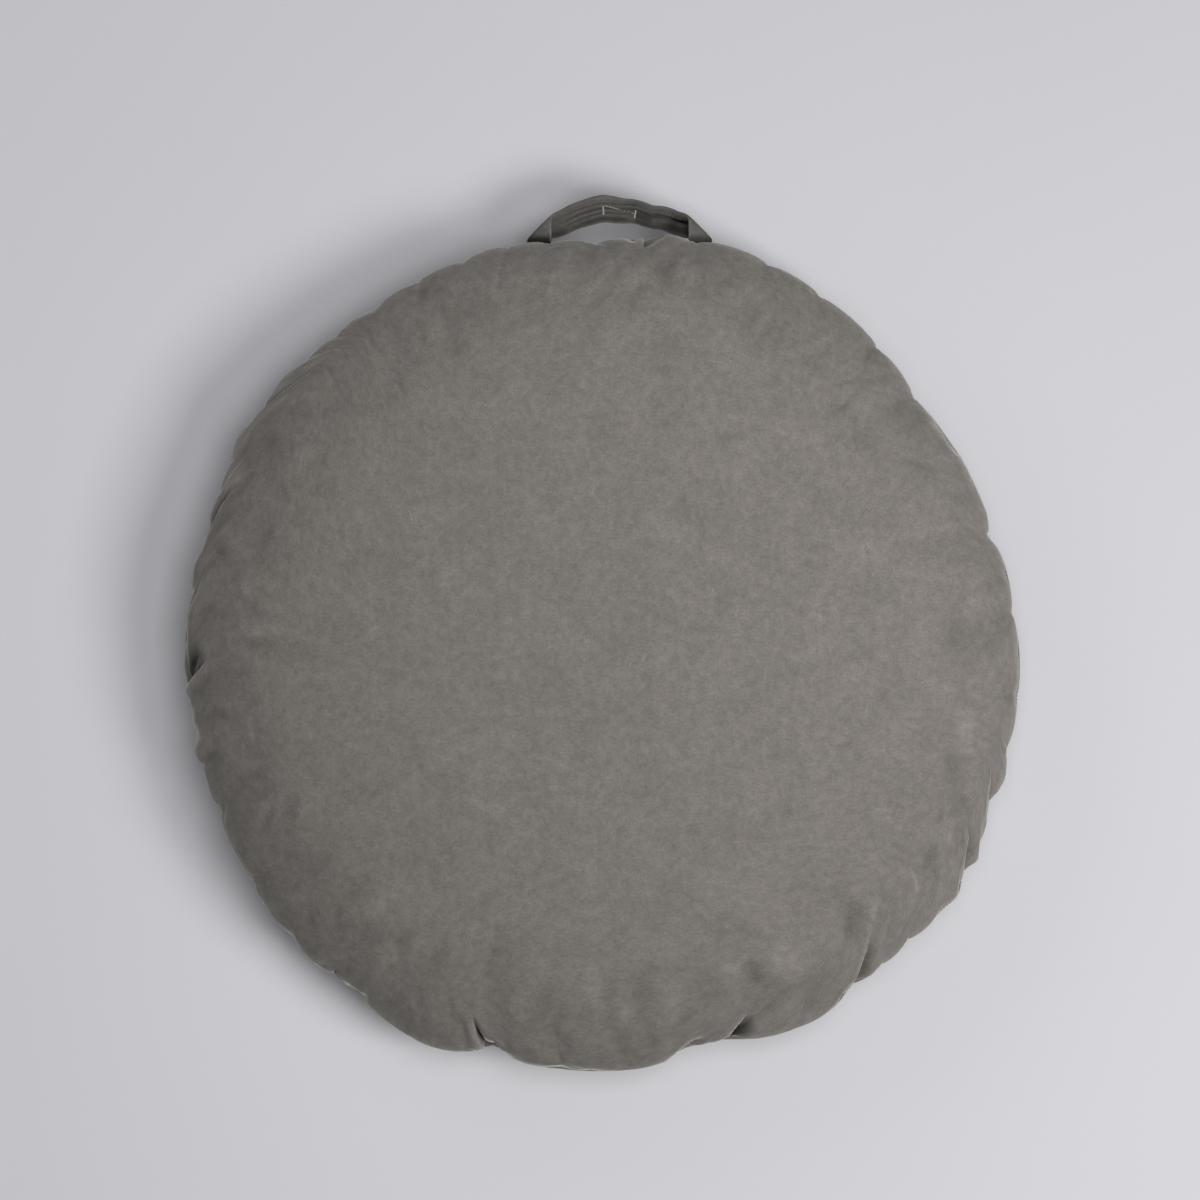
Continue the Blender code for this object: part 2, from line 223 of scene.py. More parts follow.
@dataclass(frozen=True)
class VelvetFinish:
    """Washed cotton velvet: a short clouded nap over a fine weave, in metres of cloth."""

    name: str
    colour: Colour
    clouds: float = 0.19         # share that the nap's wide clouds lighten or darken it
    mottle: float = 0.26         # and its small mottles
    tufts: float = 0.39          # and its single tufts
    rubbed: float = 0.16         # how much lighter the thin crush marks are
    tone_and_painted_light: float = 0.30          # how strongly the attribute's tone shows: painted highlights lighter, painted shade darker
    lit_side_gradient: tuple[float, float] = (0.32, 0.30)    # painted light: lighter for each metre along u and v, towards the better-lit sides
    sheen: float = 0.75
    sheen_roughness: float = 0.30
    sheen_tint: Colour = (0.80, 0.82, 0.76)
    roughness: float = 0.92
    specular: float = 0.10
    cloud_size: float = 0.032
    mottle_size: float = 0.0075
    tuft_size: float = 0.0016
    tuft_squeeze: tuple[float, float] = (0.5, 0.6)     # along each thread direction
    tuft_share: tuple[float, float] = (0.55, 0.45)     # each direction's part of the tufts
    mark_size: float = 0.085
    mark_squeeze: float = 0.55
    mark_turn: float = 1.1                             # radians, the way that the marks run
    mark_half: float = 0.012                           # of the noise, half a mark's width
    mark_patches: tuple[float, float] = (0.56, 0.70)   # of the noise: where they begin, are full
    patch_size: float = 0.6                            # of a cloud
    relief_height: float = 0.5 * MM
    relief_strength: float = 0.6
    tuft_relief: float = 0.5                           # against the mottles' relief
    mark_relief: float = 0.5

    def material(self) -> bpy.types.Material:
        """Build the material.

        Returns:
            A node material that reads the piece's cloth map and its tone and painted light
            attribute.
        """
        made, graph, shader = new_material(self.name)
        cloth = graph.add("ShaderNodeUVMap", {"uv_map": ClothMesh.CLOTH_MAP}).outputs["UV"]
        tone_and_painted_light = graph.add("ShaderNodeAttribute", {"attribute_name": ClothMesh.TONE_AND_LIGHT}).outputs["Fac"]
        clouds = self.noise(graph, cloth, self.cloud_size, detail=5.0, distortion=0.8)
        mottles = self.noise(graph, cloth, self.mottle_size, detail=3.0, distortion=0.4)
        tufts = self.tuft_noise(graph, cloth)
        marks = self.crush_marks(graph, cloth)

        tone = graph.swing(clouds, self.clouds)
        tone = graph.math("MULTIPLY", tone, graph.swing(mottles, self.mottle))
        tone = graph.math("MULTIPLY", tone, graph.swing(tufts, self.tufts))
        tone = graph.math("MULTIPLY", tone, graph.math("MULTIPLY_ADD", marks, self.rubbed, 1.0))
        # painted light: lighter towards the better-lit sides
        tone = graph.math("MULTIPLY", tone, self.lit_side_tone(graph, cloth))
        # painted light and shade from the piece's attribute
        tone = graph.math("MULTIPLY", tone, graph.math("MULTIPLY_ADD", tone_and_painted_light, self.tone_and_painted_light, 1.0))
        dye(graph, shader, self.colour, tone)

        relief = graph.math("MULTIPLY_ADD", tufts, self.tuft_relief, mottles)
        relief = graph.math("MULTIPLY_ADD", marks, self.mark_relief, relief)
        bump = graph.add(
            "ShaderNodeBump",
            Strength=self.relief_strength, Distance=self.relief_height, Height=relief,
        )
        graph.fill(
            shader, Normal=bump.outputs["Normal"], Roughness=self.roughness,
            Specular_IOR_Level=self.specular, Sheen_Weight=self.sheen,
            Sheen_Roughness=self.sheen_roughness, Sheen_Tint=(*self.sheen_tint, 1.0),
        )
        return made

    def tuft_noise(self, graph: NodeGraph, cloth: Socket) -> Socket:
        """Tufts drawn out a little along the two thread directions.

        Args:
            graph: The material's graph.
            cloth: The cloth map.

        Returns:
            A value from 0 to 1.
        """
        ways = []
        for squeeze, turn in zip(self.tuft_squeeze, (0.0, math.pi / 2)):
            drawn = self.stretched(graph, cloth, squeeze, turn)
            ways.append(self.noise(graph, drawn, self.tuft_size, detail=1.5))
        second = graph.math("MULTIPLY", ways[1], self.tuft_share[1])
        return graph.math("MULTIPLY_ADD", ways[0], self.tuft_share[0], second)

    def crush_marks(self, graph: NodeGraph, cloth: Socket) -> Socket:
        """Thin broken lines where the nap was creased in the wash.

        Args:
            graph: The material's graph.
            cloth: The cloth map.

        Returns:
            A value from 0 to 1.
        """
        drawn = self.stretched(graph, cloth, self.mark_squeeze, self.mark_turn)
        lines = self.noise(graph, drawn, self.mark_size, detail=2.0, distortion=1.2)
        away = graph.math("ABSOLUTE", graph.math("SUBTRACT", lines, 0.5))
        line = graph.smooth(away, From_Max=self.mark_half, To_Min=1.0, To_Max=0.0)
        where = self.noise(graph, cloth, self.cloud_size * self.patch_size, detail=2.0)
        begin, full = self.mark_patches
        return graph.math("MULTIPLY", line, graph.smooth(where, From_Min=begin, From_Max=full))

    def lit_side_tone(self, graph: NodeGraph, cloth: Socket) -> Socket:
        """Painted light: a slow change of tone over the whole cloth, lighter towards +X and +Y.

        Args:
            graph: The material's graph.
            cloth: The cloth map.

        Returns:
            A tone that is 1 in the middle of the cloth.
        """
        parts = graph.add("ShaderNodeSeparateXYZ", Vector=cloth)
        along = graph.math("MULTIPLY_ADD", parts.outputs["X"], self.lit_side_gradient[0], 1.0)
        return graph.math("MULTIPLY_ADD", parts.outputs["Y"], self.lit_side_gradient[1], along)

    @staticmethod
    def stretched(graph: NodeGraph, cloth: Socket, squeeze: float, turn: float) -> Socket:
        """The cloth map made ready for long marks.

        Args:
            graph: The material's graph.
            cloth: The cloth map.
            squeeze: What its first axis is scaled by, which lengthens marks along it.
            turn: Radians that it is turned first.

        Returns:
            The turned and squeezed map.
        """
        turned = graph.add("ShaderNodeMapping", Vector=cloth, Rotation=(0.0, 0.0, turn))
        squeezed = graph.add("ShaderNodeMapping", Vector=turned.outputs["Vector"])
        graph.feed(squeezed, "Scale", (squeeze, 1.0, 1.0))
        return squeezed.outputs["Vector"]

    @staticmethod
    def noise(
        graph: NodeGraph, place: Socket, size: float, detail: float, distortion: float = 0.0
    ) -> Socket:
        """A noise over the cloth.

        Args:
            graph: The material's graph.
            place: The map that it is read at.
            size: Metres across one of its marks.
            detail: How many finer layers it has.
            distortion: How far its marks are drawn about.

        Returns:
            A value from 0 to 1.
        """
        node = graph.add(
            "ShaderNodeTexNoise", Vector=place, Scale=1 / size, Detail=detail, Distortion=distortion
        )
        return node.outputs["Fac"]


def plain_noise(graph: NodeGraph, scale: float, detail: float) -> Socket:
    """A noise in the piece's own coordinates.

    Args:
        graph: The material's graph.
        scale: Its marks for each metre.
        detail: How many finer layers it has.

    Returns:
        A value from 0 to 1.
    """
    place = graph.add("ShaderNodeTexCoord").outputs["Object"]
    return graph.add("ShaderNodeTexNoise", Vector=place, Scale=scale, Detail=detail).outputs["Fac"]


@dataclass(frozen=True)
class ThreadFinish:
    """Spun sewing thread."""

    name: str
    colour: Colour
    roughness: float = 0.7
    sheen: float = 0.2
    plies: float = 2600.0        # for each metre
    ply_tones: tuple[float, float] = (0.8, 1.2)

    def material(self) -> bpy.types.Material:
        """Build the material.

        Returns:
            A node material with fine plies along the thread.
        """
        made, graph, shader = new_material(self.name)
        tone = graph.remap(plain_noise(graph, self.plies, detail=1.0), *self.ply_tones)
        dye(graph, shader, self.colour, tone)
        graph.fill(shader, Roughness=self.roughness, Sheen_Weight=self.sheen)
        return made


@dataclass(frozen=True)
class FloorFinish:
    """A plain pale painted floor."""

    name: str = "pale_floor"
    colour: Colour = (0.62, 0.62, 0.655)
    roughness: float = 0.75
    specular: float = 0.25
    clouds: float = 3.0          # for each metre
    cloud_tones: tuple[float, float] = (0.985, 1.015)

    def material(self) -> bpy.types.Material:
        """Build the material.

        Returns:
            A node material with the faintest unevenness of paint.
        """
        made, graph, shader = new_material(self.name)
        tone = graph.remap(plain_noise(graph, self.clouds, detail=2.0), *self.cloud_tones)
        dye(graph, shader, self.colour, tone)
        graph.fill(shader, Roughness=self.roughness, Specular_IOR_Level=self.specular)
        return made


class Finish(Enum):
    """The finishes of the pouf and its floor."""

    VELVET = VelvetFinish("pouf_velvet", (0.188, 0.174, 0.160))
    STRAP = VelvetFinish("handle_velvet", (0.118, 0.112, 0.104), lit_side_gradient=(0.0, 0.0), tone_and_painted_light=0.60)
    SEAM_THREAD = ThreadFinish("seam_thread", (0.085, 0.078, 0.070))
    EDGE_THREAD = ThreadFinish("edge_thread", (0.11, 0.10, 0.092))
    LIGHT_THREAD = ThreadFinish("light_thread", (0.38, 0.365, 0.34))
    FLOOR = FloorFinish()


# ---- cloth meshes ----------------------------------------------------------------------


@dataclass
class ClothMesh:
    """Points, faces and cloth coordinates that become one smooth piece."""

    CLOTH_MAP = "cloth"
    # The attribute of tone and painted light and shade: highlights on lips, ridges and the rim,
    # shade in creases and hollows.
    TONE_AND_LIGHT = "tone_and_painted_light"

    name: str
    points: list[Array] = field(default_factory=list)
    cloth: list[Array] = field(default_factory=list)
    tone_and_painted_light: list[Array] = field(default_factory=list)
    faces: list[tuple[int, ...]] = field(default_factory=list)
    count: int = 0

    def add_row(self, points: Array, cloth: Array, tone_and_painted_light: Array) -> Array:
        """Add a row of points.

        Args:
            points: The points.
            cloth: Where each lies on the cloth before sewing.
            tone_and_painted_light: Its tone and painted light at each, below nothing for painted
                shade.

        Returns:
            The points' numbers.
        """
        self.points.append(points)
        self.cloth.append(cloth)
        self.tone_and_painted_light.append(tone_and_painted_light)
        numbers = np.arange(self.count, self.count + len(points))
        self.count += len(points)
        return numbers

    def join(self, rows: Sequence[Array]) -> None:
        """Quads between each closed row and the next, which has as many points.

        Args:
            rows: The points' numbers in each row.
        """
        for lower, upper in zip(rows, rows[1:]):
            for i in range(len(lower)):
                j = (i + 1) % len(lower)
                self.faces.append((int(lower[i]), int(lower[j]), int(upper[j]), int(upper[i])))

    def halve(self, fine: Array, coarse: Array, coarse_above: bool) -> None:
        """Triangles between a ring and one with half as many points.

        Args:
            fine: The points' numbers in the ring with more.
            coarse: Those in the ring with fewer.
            coarse_above: Whether the ring with fewer is the upper one.
        """
        for i in range(0, len(fine), 2):
            start, middle, end = fine[i], fine[i + 1], fine[(i + 2) % len(fine)]
            near, far = coarse[i // 2], coarse[(i // 2 + 1) % len(coarse)]
            for face in ((start, middle, near), (middle, end, far), (middle, far, near)):
                corners = tuple(int(corner) for corner in face)
                self.faces.append(corners if coarse_above else corners[::-1])

    def cap(self, ring: Array, middle: Array, below: bool) -> None:
        """Close a ring with triangles to its middle.

        Args:
            ring: The points' numbers in the ring.
            middle: The middle point, as a row of one.
            below: Whether the cap faces down.
        """
        centre = self.add_row(middle, np.zeros((1, 2)), np.zeros(1))[0]
        for i, corner in enumerate(ring):
            face = (int(corner), int(ring[(i + 1) % len(ring)]), int(centre))
            self.faces.append(face[::-1] if below else face)

    def build(self, material: bpy.types.Material) -> bpy.types.Object:
        """Make the mesh object, smooth, with its cloth map and its tone and painted light
        attribute.

        Args:
            material: The piece's material.

        Returns:
            The new piece.
        """
        points, cloth = np.concatenate(self.points), np.concatenate(self.cloth)
        mesh = bpy.data.meshes.new(self.name)
        mesh.from_pydata(points.tolist(), [], self.faces)
        corners = np.empty(len(mesh.loops), dtype=np.int32)
        mesh.loops.foreach_get("vertex_index", corners)
        layer = mesh.uv_layers.new(name=self.CLOTH_MAP)
        layer.uv.foreach_set("vector", cloth[corners].astype(np.float32).ravel())
        tone_and_painted_light = mesh.attributes.new(self.TONE_AND_LIGHT, "FLOAT", "POINT")
        tone_and_painted_light.data.foreach_set("value", np.concatenate(self.tone_and_painted_light).astype(np.float32))
        mesh.shade_smooth()
        mesh.materials.append(material)
        mesh.validate()
        return link_new(self.name, mesh)


# ---- the cushion -----------------------------------------------------------------------


@dataclass(frozen=True)
class Gather:
    """One place where the seam gathers the panels into a fold."""

    turn: float          # degrees round the rim
    pull: float          # mm that the seam draws the cover in
    spread: float        # mm, half the fold's width along the rim
    run: float           # mm that the crease climbs the top panel
    lean: float = 0.0    # degrees round the rim from its foot to its upper end
    lap: float = 0.0     # mm that one lip laps over the pocket, towards higher angles
    pocket: float = 0.0  # mm deep that the pocket behind the lip is
    width: float = 0.0   # mm wide that the pocket is at the seam
    shade: float = 0.0   # painted shade: how little light reaches into it


@dataclass(frozen=True)
class Swell:
    """One wave of the rim's uneven roundness."""

    waves: int
    height: float        # mm
    peak: float          # degrees times the number of waves


SWELLS = (
    Swell(1, 3.0, 164.0),
    Swell(2, 2.4, 216.5),
    Swell(3, 3.8, 260.0),
    Swell(4, 2.7, 263.0),
    Swell(5, 2.0, 36.4),
)

GATHERS = (
    Gather(5.5, 4, 10, 45),
    Gather(17, 8, 10, 40, 2),
    Gather(29, -1, 12, 50),
    Gather(39.5, 5, 13, 60, 2),
    Gather(48.5, 4, 10, 45),
    Gather(59, 3, 12, 50, -1),
    Gather(67.5, 4, 10, 45),
    Gather(77.3, 6, 11, 30),
    Gather(84.6, 4, 9, 34, 0, -0.5, 7, 18, 2.0),
    Gather(91.8, 6, 9, 35),
    Gather(97.6, 4, 9, 30),
    Gather(103.5, 3, 9, 35),
    Gather(106.2, -0.5, 7, 40),
    Gather(110, 3, 6, 30),
    Gather(116.5, 3, 11, 45),
    Gather(124, 4, 11, 45),
    Gather(130.5, 4, 10, 40),
    Gather(137, 1.5, 12, 40, -2),
    Gather(146.6, 7, 11, 30, -6.4, -1.5, 4, 15, 2.6),
    Gather(153.8, 2.5, 9, 32, -2),
    Gather(158.2, 3, 8, 30, -2),
    Gather(164.3, 8, 11, 36, -5.0, -1.6, 4, 15, 2.6),
    Gather(172, 5, 10, 40),
    Gather(178, 1, 9, 60),
    Gather(184.8, 0.5, 9, 44, -4.0, -2.0, 6, 28, 4.2),
    Gather(191, 4, 9, 45),
    Gather(195.6, 6, 9, 40),
    Gather(202, 6, 10, 45),
    Gather(213, 3, 11, 50),
    Gather(222, 3, 10, 45),
    Gather(229.5, 5, 8, 22, 0, 1.0, 6, 9, 2.4),
    Gather(234, 7, 9, 30),
    Gather(247, 1, 12, 50),
    Gather(252.9, 3, 7, 60, -3.4, 0.5, 7, 6, 4.4),
    Gather(254.9, 15, 8, 34),
    Gather(264, 1, 12, 60),
    Gather(273, 0.5, 12, 60),
    Gather(281.2, 14, 10, 36),
    Gather(285.9, 4, 11, 53, 6.2, 2.5, 5, 22, 3.6),
    Gather(297, 0.5, 11, 50),
    Gather(306.3, 8, 10, 60, 7.6, 2.4, 5, 14, 2.0),
    Gather(311.5, 3, 9, 40),
    Gather(316.5, 6, 9, 45),
    Gather(328.2, 3, 10, 42, 4.4, 2.0, 4, 11, 1.4),
    Gather(338.0, 9, 8, 32, 3.6, 2.0, 4, 10, 1.3),
    Gather(347, 4, 10, 40),
    Gather(354.5, 1, 10, 40),
)

# Broad flats of the rim, and below nothing its broad swells: no crease, only less or more full.
FLATS = (
    Gather(37, 2, 45, 90),
    Gather(82, -3, 9, 50),
    Gather(90, 10, 62, 90),
    Gather(139, -2, 14, 60),
    Gather(149.5, -4, 16, 60),
    Gather(160, 4, 45, 90),
    Gather(182, -2, 10, 60),
    Gather(188, 1.5, 9, 60),
    Gather(194, -4, 12, 60),
    Gather(212, 3, 70, 90),
    Gather(231, 4, 30, 90),
    Gather(246, -6, 28, 70),
    Gather(255, 3, 22, 90),
    Gather(286, 11, 45, 90),
    Gather(311, 4, 38, 90),
    Gather(325.5, -4.5, 12, 50),
    Gather(330.8, -4, 8, 50),
    Gather(342.5, -2.5, 10, 45),
    Gather(342, 4, 60, 90),
)


@dataclass(frozen=True)
class SoftFold:
    """A soft ridge or valley that lies free on the top panel, seen from above."""

    x: float             # mm, its middle
    y: float
    heading: float       # degrees, the way it runs
    length: float        # mm, its half length
    width: float         # mm, its half width
    height: float        # mm, below nothing for a valley


SOFT_FOLDS = (
    SoftFold(-313, 146, 55, 22, 3, 1.6),
    SoftFold(-306, 140, 55, 22, 4, -1.2),
    SoftFold(-320, 104, 52, 13, 2.5, 1.4),
    SoftFold(-322, 109, 52, 13, 2.0, -1.2),
    SoftFold(-296, 190, 48, 20, 3, 1.2),
    SoftFold(-304, 172, 50, 18, 3, -1.2),
    SoftFold(-10, -276, 88, 34, 6, 1.5),
    SoftFold(2, -284, 86, 30, 5, -1.0),
    SoftFold(14, -300, 84, 22, 5, 1.3),
    SoftFold(30, -280, 95, 30, 9, -1.7),
    SoftFold(-73, -292, 80, 24, 6, 1.1),
    SoftFold(-50, -290, 84, 30, 10, -1.0),
    SoftFold(52, -288, 98, 32, 8, 1.2),
    SoftFold(84, -276, 110, 34, 12, -1.6),
    SoftFold(108, -262, 116, 38, 9, 1.3),
    SoftFold(124, -268, 112, 22, 9, -2.2),
    SoftFold(148, -250, 118, 34, 13, 1.4),
    SoftFold(206, -226, 95, 26, 7, -2.2),
    SoftFold(222, -222, 84, 26, 4, 1.9),
    SoftFold(236, -214, 90, 28, 9, -1.0),
    SoftFold(-275, -135, 79, 22, 3, 0.8),
    SoftFold(-250, -128, 77, 26, 3, 0.8),
    SoftFold(-262, -132, 78, 24, 5, -0.7),
    SoftFold(112, 160, 125, 24, 6, 0.8),
    SoftFold(104, 166, 122, 22, 5, -0.8),
    SoftFold(180, 176, 150, 10, 3, 0.6),
    SoftFold(60, 40, 130, 22, 8, 0.5),
    SoftFold(-120, 60, 70, 30, 9, 0.5),
    SoftFold(-190, -210, 40, 30, 9, 1.1),
    SoftFold(-206, -196, 44, 26, 6, -1.0),
    SoftFold(-160, -246, 60, 28, 8, 1.1),
    SoftFold(-140, -254, 62, 26, 7, -1.0),
    SoftFold(-268, 118, 58, 30, 8, 1.3),
    SoftFold(-282, 100, 62, 26, 6, -1.3),
    SoftFold(-258, 160, 52, 26, 8, 1.0),
    SoftFold(-300, 60, 76, 26, 8, 1.1),
    SoftFold(-286, 8, 4, 30, 5, -1.4),
    SoftFold(-286, 17, 6, 30, 6, 0.9),
    SoftFold(290, -96, 84, 34, 8, -1.1),
    SoftFold(302, -60, 88, 30, 7, 1.2),
    SoftFold(296, 20, 92, 34, 10, -1.2),
    SoftFold(310, 50, 96, 30, 8, 1.0),
    SoftFold(286, -150, 78, 26, 7, 1.4),
    SoftFold(272, -172, 74, 24, 6, -1.4),
    SoftFold(28, 322, 80, 18, 9, 1.0),
    SoftFold(48, 326, 60, 16, 9, -2.0),
    SoftFold(64, 322, 50, 16, 9, 1.2),
)


@dataclass
class FineRelief:
    """The cover's small folds and softness, which the solids leave out."""

    tucks: int = 260                 # small tucks that the seam leaves round the rim
    tuck_seed: int = 11
    tuck_pull: tuple[float, float] = (0.3 * MM, 1.1 * MM)
    tuck_ways: tuple[float, float] = (-0.7, 1.0)       # a tuck stands out or lies in
    tuck_spread: tuple[float, float] = (2.5 * MM, 6.0 * MM)
    tuck_middle: tuple[float, float] = (20 * MM, 80 * MM)
    tuck_half: tuple[float, float] = (14 * MM, 46 * MM)
    tuck_lean: float = 4.0           # degrees, at most
    lump_seed: int = 5
    lumps: int = 40
    lump_waves: tuple[float, float] = (45 * MM, 150 * MM)
    lump_height: float = 0.06 * MM
    lump_growth: tuple[float, float] = (8 * MM, 60 * MM)     # where lumps begin and are full
    lowest_lumps: float = -60 * MM
    fold_growth: tuple[float, float] = (3 * MM, 20 * MM)     # and the soft folds

    def __post_init__(self) -> None:
        """Draw the tucks and the lumps once, from their seeds."""
        draw, count = np.random.default_rng(self.tuck_seed), self.tucks
        self.tuck_turns = (np.arange(count) + draw.uniform(0, 1, count)) * 360 / count
        self.pulls = draw.uniform(*self.tuck_pull, count) * draw.choice(self.tuck_ways, count)
        self.spreads = draw.uniform(*self.tuck_spread, count)
        self.middles = draw.uniform(*self.tuck_middle, count)
        self.halves = draw.uniform(*self.tuck_half, count)
        self.leans = draw.uniform(-self.tuck_lean, self.tuck_lean, count)
        draw = np.random.default_rng(self.lump_seed)
        lengths = draw.uniform(*self.lump_waves, self.lumps)
        headings = draw.uniform(0, 2 * math.pi, self.lumps)
        self.waves = 2 * math.pi / lengths * np.stack([np.cos(headings), np.sin(headings)])
        self.phases = draw.uniform(0, 2 * math.pi, self.lumps)
        self.heights = self.lump_height * np.sqrt(lengths / lengths.max())

    def pull(self, turn: Array, climb: float, place: Array, radius: float) -> Array:
        """How far the fine folds draw one ring of the cover in.

        Args:
            turn: The columns' angles.
            climb: The ring's length from the seam.
            place: The ring's points before this relief.
            radius: The pouf's radius.

        Returns:
            A pull in metres for each column, below nothing where the cloth stands proud.
        """
        total = np.zeros(turn.shape)
        if climb <= 0:
            return total
        for i in range(self.tucks):
            off = climb - self.middles[i]
            if abs(off) < self.halves[i]:
                centre = self.tuck_turns[i] + self.leans[i] * off / self.halves[i]
                across = np.radians(arc_from(turn, centre)) * radius / self.spreads[i]
                along = float(fade(off, self.halves[i]))
                total += self.pulls[i] * np.exp(-(across**2)) * along
        return total - self.free_folds(place) * float(rise(climb, *self.fold_growth))

    def softness(self, climb: float, place: Array) -> Array:
        """The filling's soft lumps under one ring of the cover.

        Args:
            climb: The ring's length from the seam.
            place: The ring's points.

        Returns:
            A pull in metres for each point.
        """
        if climb < self.lowest_lumps:
            return np.zeros(len(place))
        lumps = np.cos(place[:, :2] @ self.waves + self.phases) @ self.heights
        return lumps * float(rise(abs(climb), *self.lump_growth))

    def free_folds(self, place: Array) -> Array:
        """The height of the soft folds over a ring of points.

        Args:
            place: The ring's points.

        Returns:
            A height in metres for each point.
        """
        total = np.zeros(len(place))
        for fold in SOFT_FOLDS:
            away = place[:, :2] / MM - np.array([fold.x, fold.y])
            heading = math.radians(fold.heading)
            along = (away @ np.array([math.cos(heading), math.sin(heading)])) / fold.length
            across = (away @ np.array([-math.sin(heading), math.cos(heading)])) / fold.width
            bulge = fold.height * MM * np.exp(-(across**2))
            total += bulge * fade(along, 1.0) * (np.abs(along) < 1)
        return total


@dataclass
class CushionForm:
    """The filled cushion's outer surface, as the solids have it.

    A point of the cover is named by its column's angle at the seam, in degrees, and by its
    climb: the length from the seam along the panel, positive on the top one.
    """

    height: float
    rim_radius: float = 0.3548
    seam_height: float = 0.072
    foot_radius: float = 0.215       # of the flat patch that it rests on
    shoulder: float = 2.9            # how square the top panel's half section is
    profile_steps: int = 720
    groove: float = 2.5 * MM         # the seam's depth between the panels
    groove_reach: float = 4.0 * MM
    seam_wander: float = 1.5 * MM    # up and down round the rim
    wander_waves: int = 7
    wander_reach: float = 40 * MM
    crown_sway: float = 2.5 * MM     # two high and two low sides of the top panel
    sway_peak: float = 80.0          # degrees times two
    fold_sharpness: float = 1.3      # of a crease: 1 is a sharp valley, 2 a round one
    crown_run: float = 1.35          # a crease's run on the top panel, against its table's
    floor_run: float = 0.8           # and on the bottom one
    trough_depth: float = 0.15       # the part of the pull that the soft trough takes
    trough_spread: float = 2.5       # the trough against the crease
    trough_run: float = 1.6
    lean_window: float = 24.0        # degrees each way that a leaning crease carries along
    lean_end: float = 0.79           # of the crease's run, where its lean is full
    lean_fade: float = 0.45          # of the radius, past that
    lap_start: float = 1.5 * MM      # above the seam, where a lip begins to lap
    lap_full: float = 10 * MM
    lap_spread: float = 0.6          # of the fold's spread
    pocket_run: float = 1.0          # of the fold's run
    pocket_taper: float = 0.75       # how much narrower a pocket is at its upper end
    taper_curve: float = 2.5
    pocket_below: float = 9 * MM
    lip_rise: float = 0.22           # of the pocket's depth
    lip_back: float = 3.5            # mm from the crease to the lip's top
    lip_spread: float = 4.0          # mm
    lip_valley: float = 0.15         # of the pocket's depth
    valley_back: float = 10.0        # mm
    edge_sheen: float = 0.25          # painted sheen along the seam: a wide faint band
    edge_reach: float = 45 * MM
    rim_sheen: float = 1.3            # and a narrow strong one
    rim_reach: float = 22 * MM
    floor_shade: float = 0.30        # of that painted sheen and the pockets' painted shade, the part on the bottom panel
    crease_shade: float = 0.09        # painted shade in a crease, for each mm that it pulls
    crease_half: float = 0.35        # of the fold's spread, that shade's reach across
    crease_run: float = 0.9          # of the fold's run, that shade's reach up
    # Painted highlight on a lapped fold's lip, and painted shade in the valley behind it.
    lip_highlight: float = 3.0
    lip_highlight_reach: float = 4.2 * MM
    lip_end_curve: float = 0.4
    valley_shade: float = 0.7

    def __post_init__(self) -> None:
        """Work out the half section: length from the seam, radius share and height."""
        swing = np.linspace(0.0, math.pi / 2, self.profile_steps)[::-1]
        foot_share = self.foot_radius / self.rim_radius
        low_share = foot_share + (1 - foot_share) * np.cos(swing)
        low_height = self.seam_height * (1 - np.sin(swing))
        high_share = np.sin(swing) ** (2 / self.shoulder)
        high_height = self.seam_height + (self.height - self.seam_height) * np.cos(swing)
        self.share = np.concatenate([low_share, high_share[1:]])
        self.level = np.concatenate([low_height, high_height[1:]])
        steps = np.hypot(np.diff(self.share) * self.rim_radius, np.diff(self.level))
        length = np.concatenate([[0.0], np.cumsum(steps)])
        self.length = length - length[self.profile_steps - 1]
        self.crown_climb = float(self.length[-1])
        self.foot_climb = float(self.length[0])
        self.floor_half = self.foot_radius - self.foot_climb
        self.slope_out = np.gradient(self.share * self.rim_radius, self.length)
        self.slope_up = np.gradient(self.level, self.length)

    def across(self, turn: Array, centre: float) -> Array:
        """Metres along the rim from a centre, towards higher angles."""
        return np.radians(arc_from(turn, centre)) * self.rim_radius

    def past_crease(self, fold: Gather, turn: Array) -> Array:
        """Metres along the rim past a lapped crease, towards its pocket."""
        return self.across(turn, fold.turn) * math.copysign(1.0, fold.lap)

    def crease_pull(self, fold: Gather, turn: Array, climb: Array) -> Array:
        """How far one gather draws the cover in, with the soft trough round it.

        Args:
            fold: The gather.
            turn: The columns' angles.
            climb: Lengths from the seam.

        Returns:
            A pull in metres for each point.
        """
        share = np.abs(self.across(turn, fold.turn)) / (fold.spread * MM)
        run = np.where(climb < 0, self.floor_run, self.crown_run) * fold.run * MM
        crease = np.exp(-(share**self.fold_sharpness)) * fade(climb, run)
        trough = np.exp(-((share / self.trough_spread) ** 2)) * fade(climb, run * self.trough_run)
        return fold.pull * MM * ((1 - self.trough_depth) * crease + self.trough_depth * trough)

